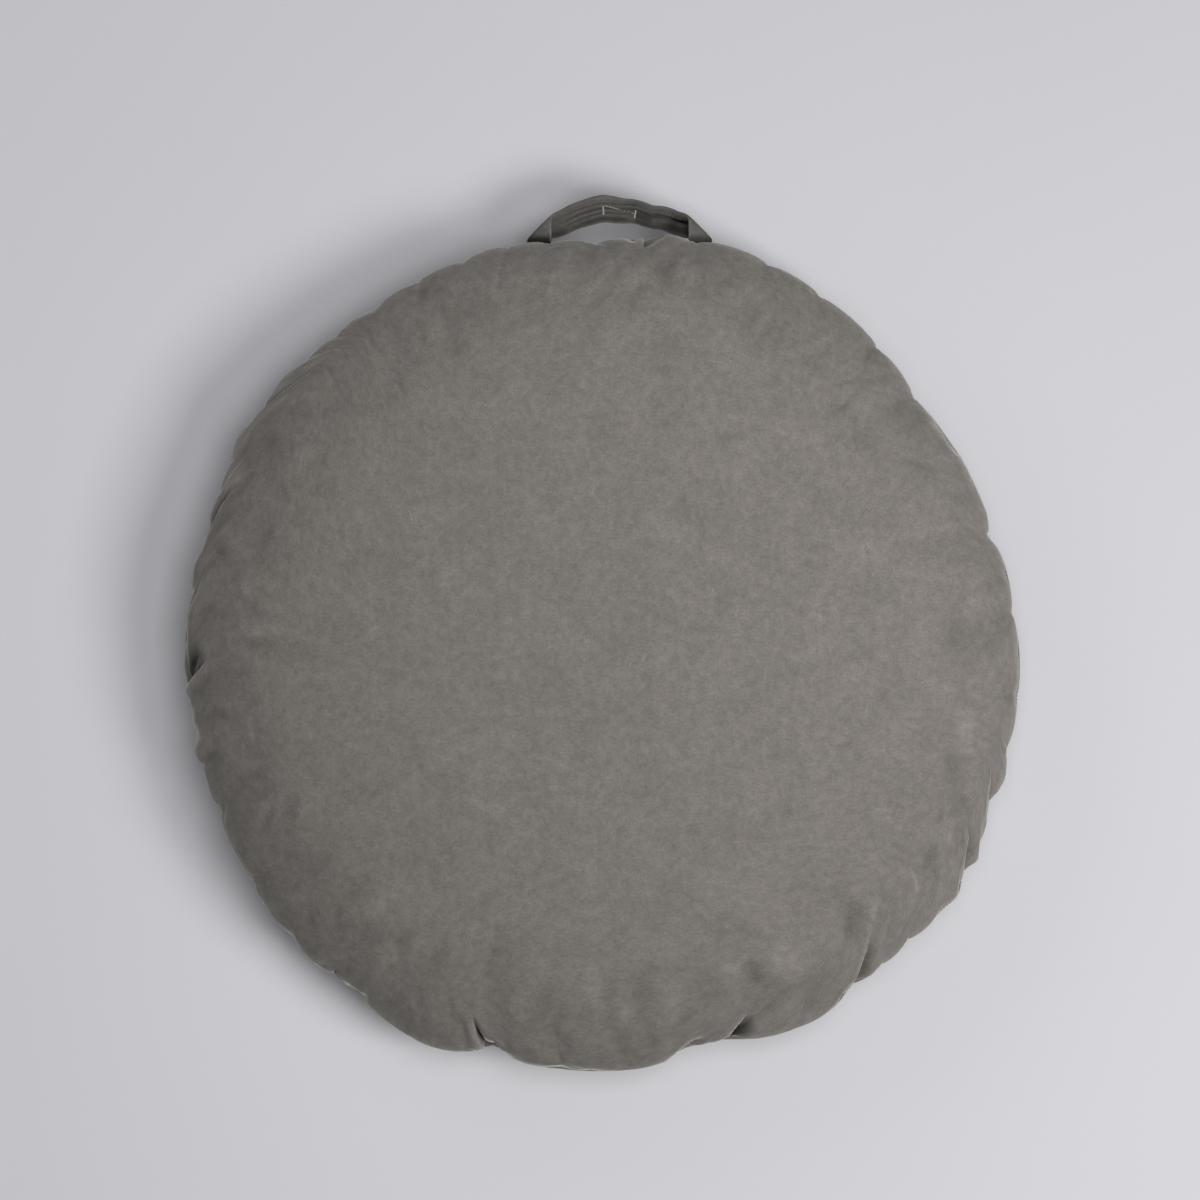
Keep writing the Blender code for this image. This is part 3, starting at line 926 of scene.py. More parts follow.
    def pocket_shape(self, fold: Gather, turn: Array, climb: Array) -> tuple[Array, Array, Array]:
        """A lapped fold's pocket and its lip.

        Args:
            fold: The lapped fold.
            turn: The columns' angles.
            climb: Lengths from the seam.

        Returns:
            The pocket's share of its depth, the share of the lip's rise, and the share of the
            valley behind the lip.
        """
        past = self.past_crease(fold, turn)
        share = np.clip(climb / (self.pocket_run * fold.run * MM), 0.0, 1.0)
        reach = fold.width * MM * (1 - self.pocket_taper * share**self.taper_curve)
        inside = np.where(past >= -HAIR, np.exp(-((np.maximum(past, 0.0) / reach) ** 4)), 0.0)
        hollow = inside * np.where(climb < 0, fade(climb, self.pocket_below), (1 - share**4) ** 2)
        behind = np.where(past < -HAIR, past / MM, np.inf)
        top = np.where(climb < 0, self.pocket_below, self.crown_run * fold.run * MM)
        along = fade(climb, top)
        lip = np.exp(-(((behind + self.lip_back) / self.lip_spread) ** 2)) * along
        valley = np.exp(-(((behind + self.valley_back) / self.lip_spread) ** 2)) * along
        return hollow, lip, valley * (climb > 0)

    def pocket_pull(self, fold: Gather, turn: Array, climb: Array) -> Array:
        """How far a lapped fold's pocket lies in, and its lip stands out."""
        hollow, lip, valley = self.pocket_shape(fold, turn, climb)
        return fold.pocket * MM * (hollow - self.lip_rise * lip + self.lip_valley * valley)

    def painted_light(self, turn: Array, climb: Array) -> Array:
        """Painted light and shade: lighter on rim and lips, darker in creases, 0 on the plain
        cloth.

        Args:
            turn: The columns' angles.
            climb: Lengths from the seam.

        Returns:
            A tone for each point, above nothing for lighter.
        """
        seen = np.where(climb < 0, self.floor_shade, 1.0)
        # Painted sheen along the seam: a narrow strong band, fainter on the bottom panel, and a
        # wide faint one.
        rim = self.rim_sheen * seen * fade(climb, self.rim_reach)
        total = self.edge_sheen * fade(climb, self.edge_reach) + rim
        for fold in GATHERS:
            # painted shade in each crease
            across = np.abs(self.across(turn, fold.turn))
            narrow = np.exp(-across / (self.crease_half * fold.spread * MM))
            dark = self.crease_shade * fold.pull * narrow
            total = total - dark * fade(climb, self.crease_run * fold.run * MM)
            if fold.lap:
                # painted shade in the pocket, painted highlight on the lip and painted shade in the
                # valley behind it
                hollow, _, valley = self.pocket_shape(fold, turn, climb)
                past = self.past_crease(fold, turn)
                lip = np.where(past < -HAIR, np.exp(past / self.lip_highlight_reach), 0.0)
                end = self.lean_end * self.crown_run * fold.run * MM
                lip = lip * fade(climb, end) ** self.lip_end_curve * (climb > 0)
                total = total - fold.shade * seen * hollow + self.lip_highlight * lip
                total = total - self.valley_shade * valley
        return total

    def lap_over(self, turn: Array, climb: Array) -> Array:
        """How far the lips of the lapped folds are carried over their hollows.

        Args:
            turn: The columns' angles.
            climb: Lengths from the seam.

        Returns:
            Degrees for each point.
        """
        total = np.zeros(np.broadcast(turn, climb).shape)
        for fold in GATHERS:
            if fold.lap:
                past = self.past_crease(fold, turn)
                near = np.exp(-((past / (self.lap_spread * fold.spread * MM)) ** 2))
                lip = np.where(past < -HAIR, near, 0.0)
                along = rise(climb, self.lap_start, self.lap_full)
                along = along * fade(climb, self.crown_run * fold.run * MM)
                total += np.degrees(fold.lap * MM / self.rim_radius) * lip * along
        return total

    def flat_pull(self, flat: Gather, turn: Array, climb: Array) -> Array:
        """How far a broad flat of the rim lies in."""
        across = self.across(turn, flat.turn) / (flat.spread * MM)
        return flat.pull * MM * np.exp(-(across**2)) * fade(climb, flat.run * MM)

    def lean(self, turn: Array, climb: Array) -> Array:
        """How far the cover's columns are carried round by the leaning creases.

        Args:
            turn: The columns' angles.
            climb: Lengths from the seam.

        Returns:
            Degrees for each point.
        """
        total = np.zeros(np.broadcast(turn, climb).shape)
        inset = 1 - np.interp(climb, self.length, self.share)
        for fold in GATHERS:
            if fold.lean:
                end = self.lean_end * self.crown_run * fold.run * MM
                reach = 1 - float(np.interp(end, self.length, self.share))
                grown = np.minimum(inset / reach, 1.0)
                grown = grown * fade(np.maximum(inset - reach, 0.0), self.lean_fade)
                total += fold.lean * fade(arc_from(turn, fold.turn), self.lean_window) * grown
        return total

    def pull(self, turn: Array, climb: Array) -> Array:
        """How far all the gathers and flats draw the cover in.

        Args:
            turn: The columns' angles.
            climb: Lengths from the seam.

        Returns:
            A pull in metres for each point.
        """
        total = sum(self.crease_pull(fold, turn, climb) for fold in GATHERS)
        total += sum(self.pocket_pull(fold, turn, climb) for fold in GATHERS if fold.lap)
        return total + sum(self.flat_pull(flat, turn, climb) for flat in FLATS)

    def points(self, turn: Array, climb: Array, extra: Array | float = 0.0) -> Array:
        """Points of the cover.

        Args:
            turn: The columns' angles at the seam.
            climb: Lengths from the seam.
            extra: A further pull along the inward normal, in metres.

        Returns:
            An array of points, one for each turn and climb.
        """
        share = np.interp(climb, self.length, self.share)
        height = np.interp(climb, self.length, self.level)
        normal_out = np.interp(climb, self.length, self.slope_up)
        normal_up = -np.interp(climb, self.length, self.slope_out)
        angle = turn + self.lean(turn, climb) + self.lap_over(turn, climb)
        swell = sum(s.height * MM * np.cos(np.radians(s.waves * angle - s.peak)) for s in SWELLS)
        pull = self.pull(turn, climb) + extra
        groove = self.groove * np.exp(-((climb / self.groove_reach) ** 2))
        radius = share * self.rim_radius + swell * share**2 - pull * normal_out - groove
        wander = self.seam_wander * np.sin(np.radians(self.wander_waves * angle))
        wander = wander * fade(climb, self.wander_reach)
        sway = self.crown_sway * np.cos(np.radians(2 * angle - self.sway_peak))
        sway = sway * 4 * share**2 * (1 - share**2)
        height = height - pull * normal_up + wander + np.where(climb > 0, sway, 0.0)
        facing = np.radians(angle)
        return np.stack([radius * np.cos(facing), radius * np.sin(facing), height], axis=-1)

    def flat_cloth(self, turn: Array, climb: Array) -> Array:
        """Where points lie on their panel before sewing.

        Args:
            turn: The columns' angles.
            climb: Lengths from the seam.

        Returns:
            Metres from the panel's middle, two for each point.
        """
        out = np.where(climb >= 0, self.crown_climb - climb, self.floor_half + climb)
        facing = np.radians(turn)
        return np.stack([out * np.cos(facing), out * np.sin(facing)], axis=-1)


@dataclass
class Settling:
    """How the blown-up cloth settles: a cloth simulation's small movements, held to a cap."""

    form: CushionForm
    columns: int = 360
    low_rings: int = 20
    high_rings: int = 62
    seam_gap: float = 7 * MM         # between the seam and the next ring
    crown_gap: float = 9 * MM        # between the last ring and the crown
    frames: int = 20
    pressure: float = 4.0
    shrink: float = -0.012           # below nothing, so the cloth grows
    quality: int = 6
    cloth_mass: float = 0.25
    stretch: float = 12.0
    shear: float = 4.0
    bending: float = 0.4
    cap: float = 4.0 * MM            # the farthest that a point may move
    seam_hold: float = 9 * MM
    moves: Array | None = None

    def climbs(self) -> Array:
        """The rings of the simulated cloth, from the foot to near the crown."""
        low = np.linspace(self.form.foot_climb, -self.seam_gap, self.low_rings)
        top = self.form.crown_climb - self.crown_gap
        return np.concatenate([low, [0.0], np.linspace(self.seam_gap, top, self.high_rings)])

    def run(self) -> None:
        """Simulate the cover under pressure from inside, with its seam and foot pinned."""
        turns, climbs = self.turns(), self.climbs()
        start = np.array([self.form.points(turns, np.full(turns.shape, climb)) for climb in climbs])
        mesh = ClothMesh("settling")
        plain = np.zeros((self.columns, 2)), np.zeros(self.columns)
        rings = [mesh.add_row(ring, *plain) for ring in start]
        mesh.join(rings)
        mesh.cap(rings[-1], np.array([[0.0, 0.0, self.form.height]]), below=False)
        mesh.cap(rings[0], np.zeros((1, 3)), below=True)
        piece = mesh.build(bpy.data.materials.new("settling"))
        held = piece.vertex_groups.new(name="held")
        fixed = [ring for ring, climb in zip(rings, climbs) if climb in (0.0, climbs[0])]
        held.add(np.concatenate(fixed).tolist(), 1.0, "REPLACE")
        self.simulate(piece, held.name)
        seen = piece.evaluated_get(bpy.context.evaluated_depsgraph_get()).data
        after = np.empty(3 * len(seen.vertices), dtype=np.float32)
        seen.vertices.foreach_get("co", after)
        after = after.reshape(-1, 3)[: start.size // 3].reshape(start.shape)
        bpy.context.scene.frame_set(1)
        bpy.data.objects.remove(piece)
        moves = after - start
        size = np.linalg.norm(moves, axis=-1, keepdims=True)
        moves *= self.cap * np.tanh(size / self.cap) / np.maximum(size, 1e-9)
        self.moves = moves * rise(np.abs(climbs), 0.0, self.seam_hold)[:, None, None]
        LOG.info("the simulation moved the cloth by up to %.1f mm", float(size.max()) / MM)

    def simulate(self, piece: bpy.types.Object, held: str) -> None:
        """Step the cloth modifier through its frames.

        Args:
            piece: The cloth.
            held: The vertex group of its pinned points.
        """
        cloth = piece.modifiers.new("cloth", "CLOTH")
        settings = cloth.settings
        settings.quality = self.quality
        settings.mass = self.cloth_mass
        settings.tension_stiffness = self.stretch
        settings.compression_stiffness = self.stretch
        settings.shear_stiffness = self.shear
        settings.bending_stiffness = self.bending
        settings.use_pressure = True
        settings.uniform_pressure_force = self.pressure
        settings.shrink_min = self.shrink
        settings.vertex_group_mass = held
        settings.effector_weights.gravity = 0.0
        cloth.point_cache.frame_start = 1
        cloth.point_cache.frame_end = self.frames
        for step in range(1, self.frames + 1):
            bpy.context.scene.frame_set(step)

    def turns(self) -> Array:
        """The angles of the simulated cloth's columns."""
        return np.arange(self.columns) * 360.0 / self.columns

    def at(self, turns: Array, climb: float) -> Array:
        """The settled movement of one ring of the cover.

        Args:
            turns: The ring's angles.
            climb: Its length from the seam.

        Returns:
            A movement for each point, all nothing where the cloth wasn't simulated.
        """
        if self.moves is None:
            return np.zeros((len(turns), 3))
        climbs, own = self.climbs(), self.turns()
        place = float(np.interp(climb, climbs, np.arange(len(climbs))))
        low = min(int(place), len(climbs) - 2)
        ring = self.moves[low] * (1 - (place - low)) + self.moves[low + 1] * (place - low)
        return np.stack([np.interp(turns, own, ring[:, i], period=360) for i in range(3)], axis=1)


@dataclass
class Cushion:
    """The filled velvet cushion as one fine closed mesh."""

    form: CushionForm
    relief: FineRelief
    settling: Settling
    column_pitch: float = 0.40       # degrees
    crease_spacing: float = 0.50     # of the usual, beside a crease
    lapped_spacing: float = 0.16     # and beside a lapped one
    lip_gap: float = 0.07            # degrees from a lapped crease to the column on its lip
    first_step: float = 0.7 * MM     # between the seam and the next ring
    step_growth: float = 1.22
    widest_top: float = 3.0 * MM
    widest_floor: float = 3.2 * MM
    fine_top: float = 100 * MM       # how far up all the columns go
    fine_floor: float = 72 * MM
    middle_top: float = 205 * MM     # how far up half of them go
    middle_step: float = 4 * MM
    crown_step: float = 5 * MM
    floor_step: float = 6 * MM
    foot_step: float = 7 * MM
    foot_margin: float = 30 * MM     # from the foot, where half of the columns end
    foot_gap: float = 3 * MM         # the least between the foot's last two rings
    fold_shade_depth: float = 2.6 * MM      # depth of a tuck or soft valley painted darker by 1; one that stands out is painted lighter
    painted_light_span: tuple[float, float] = (-3.2, 3.0)

    def column_turns(self) -> Array:
        """The columns' angles: one on each crease, crowded towards it, in fours between."""
        turns: list[float] = []
        for fold, following in zip(GATHERS, GATHERS[1:] + GATHERS[:1]):
            gap = (following.turn - fold.turn) % 360.0
            steps = 4 * max(1, round(gap / (4 * self.column_pitch)))
            share = np.arange(steps) / steps
            start, end = self.opening(fold), self.opening(following)
            share = (
                start * (share**3 - 2 * share**2 + share)
                + 3 * share**2 - 2 * share**3
                + end * (share**3 - share**2)
            )
            if fold.lap < 0:
                share[1] = self.lip_gap / gap
            if following.lap > 0:
                share[-1] = 1 - self.lip_gap / gap
            turns += list(fold.turn + gap * share)
        return np.array(turns)

    def opening(self, fold: Gather) -> float:
        """The columns' spacing beside a crease, against their usual spacing."""
        return self.lapped_spacing if fold.lap else self.crease_spacing

    def row(self, mesh: ClothMesh, turns: Array, climb: float) -> Array:
        """One ring of the cover.

        Args:
            mesh: The cover's mesh.
            turns: The ring's angles.
            climb: Its length from the seam.

        Returns:
            The points' numbers.
        """
        climbs = np.full(turns.shape, climb)
        plain = self.form.points(turns, climbs)
        fine = self.relief.pull(turns, climb, plain, self.form.rim_radius)
        fine_and_soft = fine + self.relief.softness(climb, plain)
        points = self.form.points(turns, climbs, fine_and_soft) + self.settling.at(turns, climb)
        points[:, 2] = np.maximum(points[:, 2], 0.0)
        if climb <= self.form.foot_climb:
            points[:, 2] = 0.0
        # Painted light and shade: the form's, with the fine tucks and soft valleys darker and their
        # ridges lighter.
        painted_light = np.clip(self.form.painted_light(turns, climbs) - fine / self.fold_shade_depth, *self.painted_light_span)
        return mesh.add_row(points, self.form.flat_cloth(turns, climbs), painted_light)

    def build(self, material: bpy.types.Material) -> bpy.types.Object:
        """Make the cushion's mesh from foot to crown.

        Args:
            material: The velvet.

        Returns:
            The new piece.
        """
        form, mesh = self.form, ClothMesh("cushion_cover")
        fine = self.column_turns()
        middle, wide = fine[::2], fine[::4]
        foot = -form.foot_climb
        top = ladder(self.first_step, self.step_growth, self.widest_top, self.fine_top)
        floor = ladder(self.first_step, self.step_growth, self.widest_floor, self.fine_floor)
        rings = [self.row(mesh, fine, -climb) for climb in floor[:0:-1]]
        rings += [self.row(mesh, fine, climb) for climb in top]
        mesh.join(rings)

        step = self.middle_step
        rows = np.arange(self.fine_top + step, self.middle_top, step)
        upper_rings = [self.row(mesh, middle, climb) for climb in rows]
        mesh.halve(rings[-1], upper_rings[0], True)
        mesh.join(upper_rings)
        rows = np.arange(self.middle_top + step, form.crown_climb - step, self.crown_step)
        crown_rings = [self.row(mesh, wide, climb) for climb in rows]
        mesh.halve(upper_rings[-1], crown_rings[0], True)
        mesh.join(crown_rings)
        mesh.cap(crown_rings[-1], np.array([[0.0, 0.0, form.height]]), below=False)

        step = self.floor_step
        rows = np.arange(self.fine_floor + step, foot - self.foot_margin, step)
        lower_rings = [self.row(mesh, middle, -climb) for climb in rows]
        mesh.halve(rings[0], lower_rings[0], False)
        self.join_down(mesh, lower_rings)
        step = self.foot_step
        rows = [*np.arange(rows[-1] + step, foot - self.foot_gap, step), foot]
        foot_rings = [self.row(mesh, wide, -climb) for climb in rows]
        mesh.halve(lower_rings[-1], foot_rings[0], False)
        self.join_down(mesh, foot_rings)
        mesh.cap(foot_rings[-1], np.zeros((1, 3)), below=True)
        return mesh.build(material)

    @staticmethod
    def join_down(mesh: ClothMesh, rings: Sequence[Array]) -> None:
        """Join rings that are given from the upper one down."""
        for upper, lower in zip(rings, rings[1:]):
            mesh.join((lower, upper))


# ---- the strap handle ------------------------------------------------------------------


@dataclass(frozen=True)
class Bend:
    """One point of the strap's middle line between its two folds."""

    along: float         # mm from the handle's centre
    out: float           # mm from the pouf's centre
    width: float         # mm that the strap is wide there


STRAP_LINE = (
    Bend(-61.4, 362.2, 20.4),
    Bend(-50.0, 365.2, 21.5),
    Bend(-40.0, 370.0, 22.3),
    Bend(-28.0, 373.9, 23.2),
    Bend(-14.0, 377.2, 24.2),
    Bend(0.0, 375.6, 22.6),
    Bend(14.0, 374.4, 20.8),
    Bend(26.5, 370.6, 19.8),
    Bend(38.0, 368.8, 20.6),
    Bend(49.0, 365.0, 20.6),
    Bend(61.4, 362.2, 19.8),
)


@dataclass(frozen=True)
class Crimp:
    """A long ridge or valley on the strap's upper face, where its layers are folded in; its tone is
    painted light and shade.
    """

    across: float        # mm from the middle line, outwards
    start: float         # mm from the handle's centre
    end: float
    half: float          # mm, half its width
    height: float        # mm, below nothing for a valley
    tone: float          # painted light: -1 for shade in a hollow and under the right tab, 1 for a highlight on a ridge


CRIMPS = (
    Crimp(9.2, -64, 62, 2.4, 0.2, 0.60),
    Crimp(6.0, -52, 10, 1.0, 0.4, 0.25),
    Crimp(4.6, -58, 30, 0.8, -0.4, -0.30),
    Crimp(3.0, -50, -4, 1.0, 0.4, 0.30),
    Crimp(0.6, -60, 56, 0.8, -0.5, -0.45),
    Crimp(-1.4, -56, 8, 0.9, 0.4, 0.22),
    Crimp(-3.4, -58, 16, 0.8, -0.4, -0.30),
    Crimp(-5.4, -44, 20, 1.1, 0.4, 0.22),
    Crimp(-8.6, -64, 66, 2.4, -0.5, -0.55),
    Crimp(-8.0, 6, 17, 1.6, 0.6, 0.50),
    Crimp(5.2, 10, 62, 1.3, 0.5, 0.18),
    Crimp(2.6, 22, 64, 1.2, -0.6, -0.45),
    Crimp(-2.6, 24, 44, 1.6, 0.5, 0.20),
    Crimp(-3.0, 11, 31, 3.2, -1.4, -0.45),
    Crimp(-5.0, 28, 76, 3.4, -1.0, -0.42),
    Crimp(4.0, 42, 76, 2.4, -0.6, -0.40),
    Crimp(-7.5, -66, -48, 3.4, -0.8, -0.50),
    # These two paint shade over the strap's right half, darkest near the right tab.
    Crimp(0.0, 38, 80, 9.0, -0.3, -0.50),
    Crimp(0.0, 2, 66, 9.0, 0.0, -0.20),
)


@dataclass
class StrapHandle:
    """The strap: a strip of folded velvet whose two ends turn over and enter the seam.

    A place on it is named by its length from the strap's middle and its distance from the
    middle line, outwards.
    """

    thickness: float = 3.2 * MM
    edge_thinner: float = 0.3        # share that the long edges are thinner
    centre_x: float = 12.5 * MM
    fold_radius: float = 3.0 * MM
    turn: float = 45.0               # degrees, the way that each end is folded over
    end_slope: float = 0.0           # degrees of the middle line at its folds
    slant_growth: tuple[float, float] = (0.42, 0.88)   # of the way to a fold
    slant_past: float = 1.15         # of the cloth in the fold, where rows turn square again
    roll: float = 15.0               # degrees that the loop's outer edge hangs
    lapped_edge: float = 1.6 * MM    # from the middle line
    lap_width: float = 0.6 * MM
    lap_step: float = 0.45 * MM
    face_tone: float = -0.52
    # Painted highlight along the strap's rounded long edges.
    edge_highlight: float = 0.35
    back_offset: float = 0.05        # metres of cloth between the two faces
    # Painted light on the tabs: the left one shaded, the right one lit, with a highlight on each
    # one's inner edge.
    tab_lit_and_shaded: tuple[float, float] = (-0.35, 0.10)
    tab_edge_highlights: tuple[float, float] = (1.1, 0.3)
    tab_edge_span: tuple[float, float] = (0.84, 0.97)  # of half the width, where the tabs' edge highlight begins and is full
    seam_shade_reach: tuple[float, float] = (18 * MM, 12 * MM)     # from the end, inside the seam, where the painted shade at the seam begins and is full
    # How dark the painted shade is where the tabs go into the seam.
    seam_shade: float = 1.1
    tab_height: float = 72.0 * MM
    tab_end_y: float = 338.0 * MM
    # How the crimps wander across the strap: mm to each side, mm of a wave's length over two
    # pi, and radians.
    sways: tuple[tuple[float, float, float], ...] = ((0.7, 15.0, 1.0), (0.35, 6.1, 0.0))
    row_pitch: float = 1.0 * MM
    fold_rows: int = 32
    fold_margins: tuple[float, float] = (0.3, 1.2)     # of the cloth in the fold
    tab_rows: int = 14
    span_steps: int = 24
    flat_share: float = 0.94         # of half the width, where the rounded edge begins
    upper_points: int = 45
    lower_points: int = 19
    edge_round: tuple[tuple[float, float], ...] = ((0.975, 0.85), (0.995, 0.5), (1.0, 0.1))

    def __post_init__(self) -> None:
        """Lay out the middle line as close points along smooth spans."""
        knots = np.array([(bend.along, bend.out) for bend in STRAP_LINE]) * MM
        self.knot_along = knots[:, 0]
        self.knot_width = np.array([bend.width for bend in STRAP_LINE]) * MM
        spans = np.concatenate([[0.0], np.cumsum(np.hypot(*np.diff(knots, axis=0).T))])
        slope = math.tan(math.radians(self.end_slope))
        tangents = np.gradient(knots, spans, axis=0)
        tangents[0] = np.array([1.0, slope]) / math.hypot(1.0, slope)
        tangents[-1] = np.array([1.0, -slope]) / math.hypot(1.0, slope)
        points = []
        for i in range(len(knots) - 1):
            span = spans[i + 1] - spans[i]
            for t in np.linspace(0.0, 1.0, self.span_steps, endpoint=False):
                points.append(
                    (2 * t**3 - 3 * t**2 + 1) * knots[i]
                    + (t**3 - 2 * t**2 + t) * span * tangents[i]
                    + (3 * t**2 - 2 * t**3) * knots[i + 1]
                    + (t**3 - t**2) * span * tangents[i + 1]
                )
        points.append(knots[-1])
        self.line = np.array(points)
        length = np.concatenate([[0.0], np.cumsum(np.hypot(*np.diff(self.line, axis=0).T))])
        self.line_length = length - length[-1] / 2
        self.fold_at = float(self.line_length[-1])
        self.crossing = math.radians(self.turn - self.end_slope)
        wrap = math.pi * self.fold_radius
        self.rolled = wrap / math.sin(self.crossing)
        slip = wrap / math.tan(self.crossing) * math.sin(math.radians(self.turn))
        self.tab = STRAP_LINE[-1].out * MM - slip - self.tab_end_y
        self.end_at = self.fold_at + self.rolled + self.tab

    def line_point(self, along: float) -> Array:
        """A point of the laid-out middle line, which runs on straight past its folds.

        Args:
            along: Length from the strap's middle.

        Returns:
            The point, as x from the handle's centre and y.
        """
        held = min(max(along, -self.fold_at), self.fold_at)
        place = np.array([np.interp(held, self.line_length, self.line[:, i]) for i in (0, 1)])
        slope = math.radians(self.end_slope)
        drop = -math.copysign(math.sin(slope), along)
        return place + (along - held) * np.array([math.cos(slope), drop])

    def line_side(self, along: float) -> Array:
        """The unit vector across the strap, outwards.

        Args:
            along: Length from the strap's middle.

        Returns:
            The vector in the plane of the laid-out strap.
        """
        step = 1.5 * MM
        run = self.line_point(along + step) - self.line_point(along - step)
        run /= np.hypot(*run)
        return np.array([-run[1], run[0]])

    def surface(self, along: float, across: float) -> Array:
        """A point of the strap's middle layer, folded over at both ends.

        Args:
            along: Length from the strap's middle.
            across: Distance from its middle line, outwards.

        Returns:
            The point.
        """
        flat = self.line_point(along) + across * self.line_side(along)
        inside = 1 - (1 - float(fade(along, self.fold_at))) ** 2
        roll = -math.sin(math.radians(self.roll)) * across * inside
        low = self.tab_height - 2 * self.fold_radius
        side = math.copysign(1.0, along)
        turn = math.radians(self.turn)
        hinge = np.array([side * STRAP_LINE[-1].along, STRAP_LINE[-1].out]) * MM
        away = np.array([side * math.sin(turn), math.cos(turn)])
        past = float((flat - hinge) @ away)
        if past <= 0:
            return np.array([flat[0] + self.centre_x, flat[1], low + roll])
        around = min(past / self.fold_radius, math.pi)
        reach = self.fold_radius * math.sin(around) - max(past - math.pi * self.fold_radius, 0.0)
        place = flat - past * away + reach * away
        height = low + self.fold_radius * (1 - math.cos(around)) + roll
        return np.array([place[0] + self.centre_x, place[1], height])

    def normal(self, along: float, across: float) -> Array:
        """The middle layer's facing: up in the middle, down on the tabs.

        Args:
            along: Length from the strap's middle.
            across: Distance from its middle line, outwards.

        Returns:
            The unit normal.
        """
        step = 0.1 * MM
        run = self.surface(along + step, across) - self.surface(along - step, across)
        side = self.surface(along, across + step) - self.surface(along, across - step)
        normal = np.cross(run, side)
        return normal / np.linalg.norm(normal)

    def place(self, along: float, across: float, lift: float) -> Array:
        """A point at a height over the middle layer."""
        return self.surface(along, across) + lift * self.normal(along, across)

    def slant(self, along: float) -> float:
        """How far a row moves along the strap for each unit across it.

        Args:
            along: The row's length from the strap's middle.

        Returns:
            The row's slope, so that rows lie along the slanted folds.
        """
        first, full = self.slant_growth
        share = float(rise(abs(along), first * self.fold_at, full * self.fold_at))
        past = self.fold_at + self.slant_past * self.rolled
        share *= 1 - float(rise(abs(along), past, self.end_at))
        return -math.copysign(share / math.tan(self.crossing), along)

    def half_width(self, along: float) -> float:
        """Half the strap's width at a length from its middle."""
        return 0.5 * float(np.interp(along, self.knot_along, self.knot_width))

    def stations(self) -> Array:
        """Rows along the strap, close together in the folds."""
        before, beyond = self.fold_margins
        first, last = self.fold_at - before * self.rolled, self.fold_at + beyond * self.rolled
        half = np.concatenate([
            np.linspace(0.0, first, round(first / self.row_pitch), endpoint=False),
            np.linspace(first, last, self.fold_rows, endpoint=False),
            np.linspace(last, self.end_at, self.tab_rows),
        ])
        return np.concatenate([-half[:0:-1], half])

    def section(self) -> list[tuple[float, float]]:
        """The strap's rounded cross-section as (share of half width, share of half thickness)."""
        flat = self.flat_share
        upper = [(share, 1.0) for share in np.linspace(flat, -flat, self.upper_points)]
        lower = [(share, -1.0) for share in np.linspace(-flat, flat, self.lower_points)]
        right = [(a, -b) for a, b in self.edge_round] + list(self.edge_round[::-1])
        left = [(-a, -b) for a, b in right]
        return lower + right + upper + left

    def build(self, material: bpy.types.Material) -> bpy.types.Object:
        """Make the strap's mesh, closed at both ends.

        Args:
            material: The strap's velvet.

        Returns:
            The new piece.
        """
        mesh = ClothMesh("strap_band")
        rings = []
        for along in self.stations():
            slant = self.slant(along)
            points, cloth, tones = [], [], []
            for share_across, share_lift in self.section():
                across = share_across * self.half_width(along)
                here = along + slant * across
                relief, tone = self.relief(here, across, share_lift)
                thick = self.thickness / 2 * (1 - self.edge_thinner * abs(share_across) ** 3)
                points.append(self.place(here, across, share_lift * thick + relief))
                cloth.append((here, across + (self.back_offset if share_lift > 0 else 0.0)))
                # painted highlight along the rounded long edges
                tones.append(tone + self.edge_highlight * abs(share_across) ** 12)
            rings.append(mesh.add_row(np.array(points), np.array(cloth), np.array(tones)))
        mesh.join(rings)
        mesh.faces.append(tuple(int(i) for i in rings[0][::-1]))
        mesh.faces.append(tuple(int(i) for i in rings[-1]))
        return mesh.build(material)

    def relief(self, along: float, across: float, share_lift: float) -> tuple[float, float]:
        """The strap's fine shape at a place on it.

        Args:
            along: Length from the strap's middle.
            across: Distance from its middle line, outwards.
            share_lift: 1 on the lapped face, -1 on the smooth one.

        Returns:
            A lift in metres, and the tone there: the lapped face's own darker tone, with painted
                shade in hollows and painted highlights on ridges.
        """
        if share_lift <= 0:
            return 0.0, self.tab_painted_light(along, across)
        sway = sum(mm * math.sin(along / (wave * MM) + phase) for mm, wave, phase in self.sways)
        step = float(rise(across, self.lapped_edge, self.lapped_edge + self.lap_width)) - 0.5
        lift, tone = self.lap_step * step, self.face_tone
        for crimp in CRIMPS:
            middle = (crimp.start + crimp.end) / 2 * MM
            half = (crimp.end - crimp.start) / 2 * MM
            if abs(along - middle) < half:
                ends = (1 - ((along - middle) / half) ** 4) ** 2
                off = (across / MM - crimp.across - sway) / crimp.half
                lift += crimp.height * MM * ends * math.exp(-(off**2))
                tone += crimp.tone * ends * math.exp(-(off**2))
        return lift, tone

    def tab_painted_light(self, along: float, across: float) -> float:
        """The painted light and shade of the smooth face, which shows on the two tabs.

        Args:
            along: Length from the strap's middle.
            across: Distance from its middle line, outwards.

        Returns:
            The painted light and shade, 0 between the folds.
        """
        length, half = abs(along), self.half_width(along)
        side = 0 if along < 0 else 1
        past = float(rise(length, self.fold_at, self.fold_at + self.rolled))
        edge = float(rise(across, self.tab_edge_span[0] * half, self.tab_edge_span[1] * half))
        # painted shade where the tab goes into the seam
        first, full = self.seam_shade_reach
        sunk = float(rise(length, self.end_at - first, self.end_at - full))
        return past * (self.tab_lit_and_shaded[side] + edge * self.tab_edge_highlights[side]) - self.seam_shade * sunk

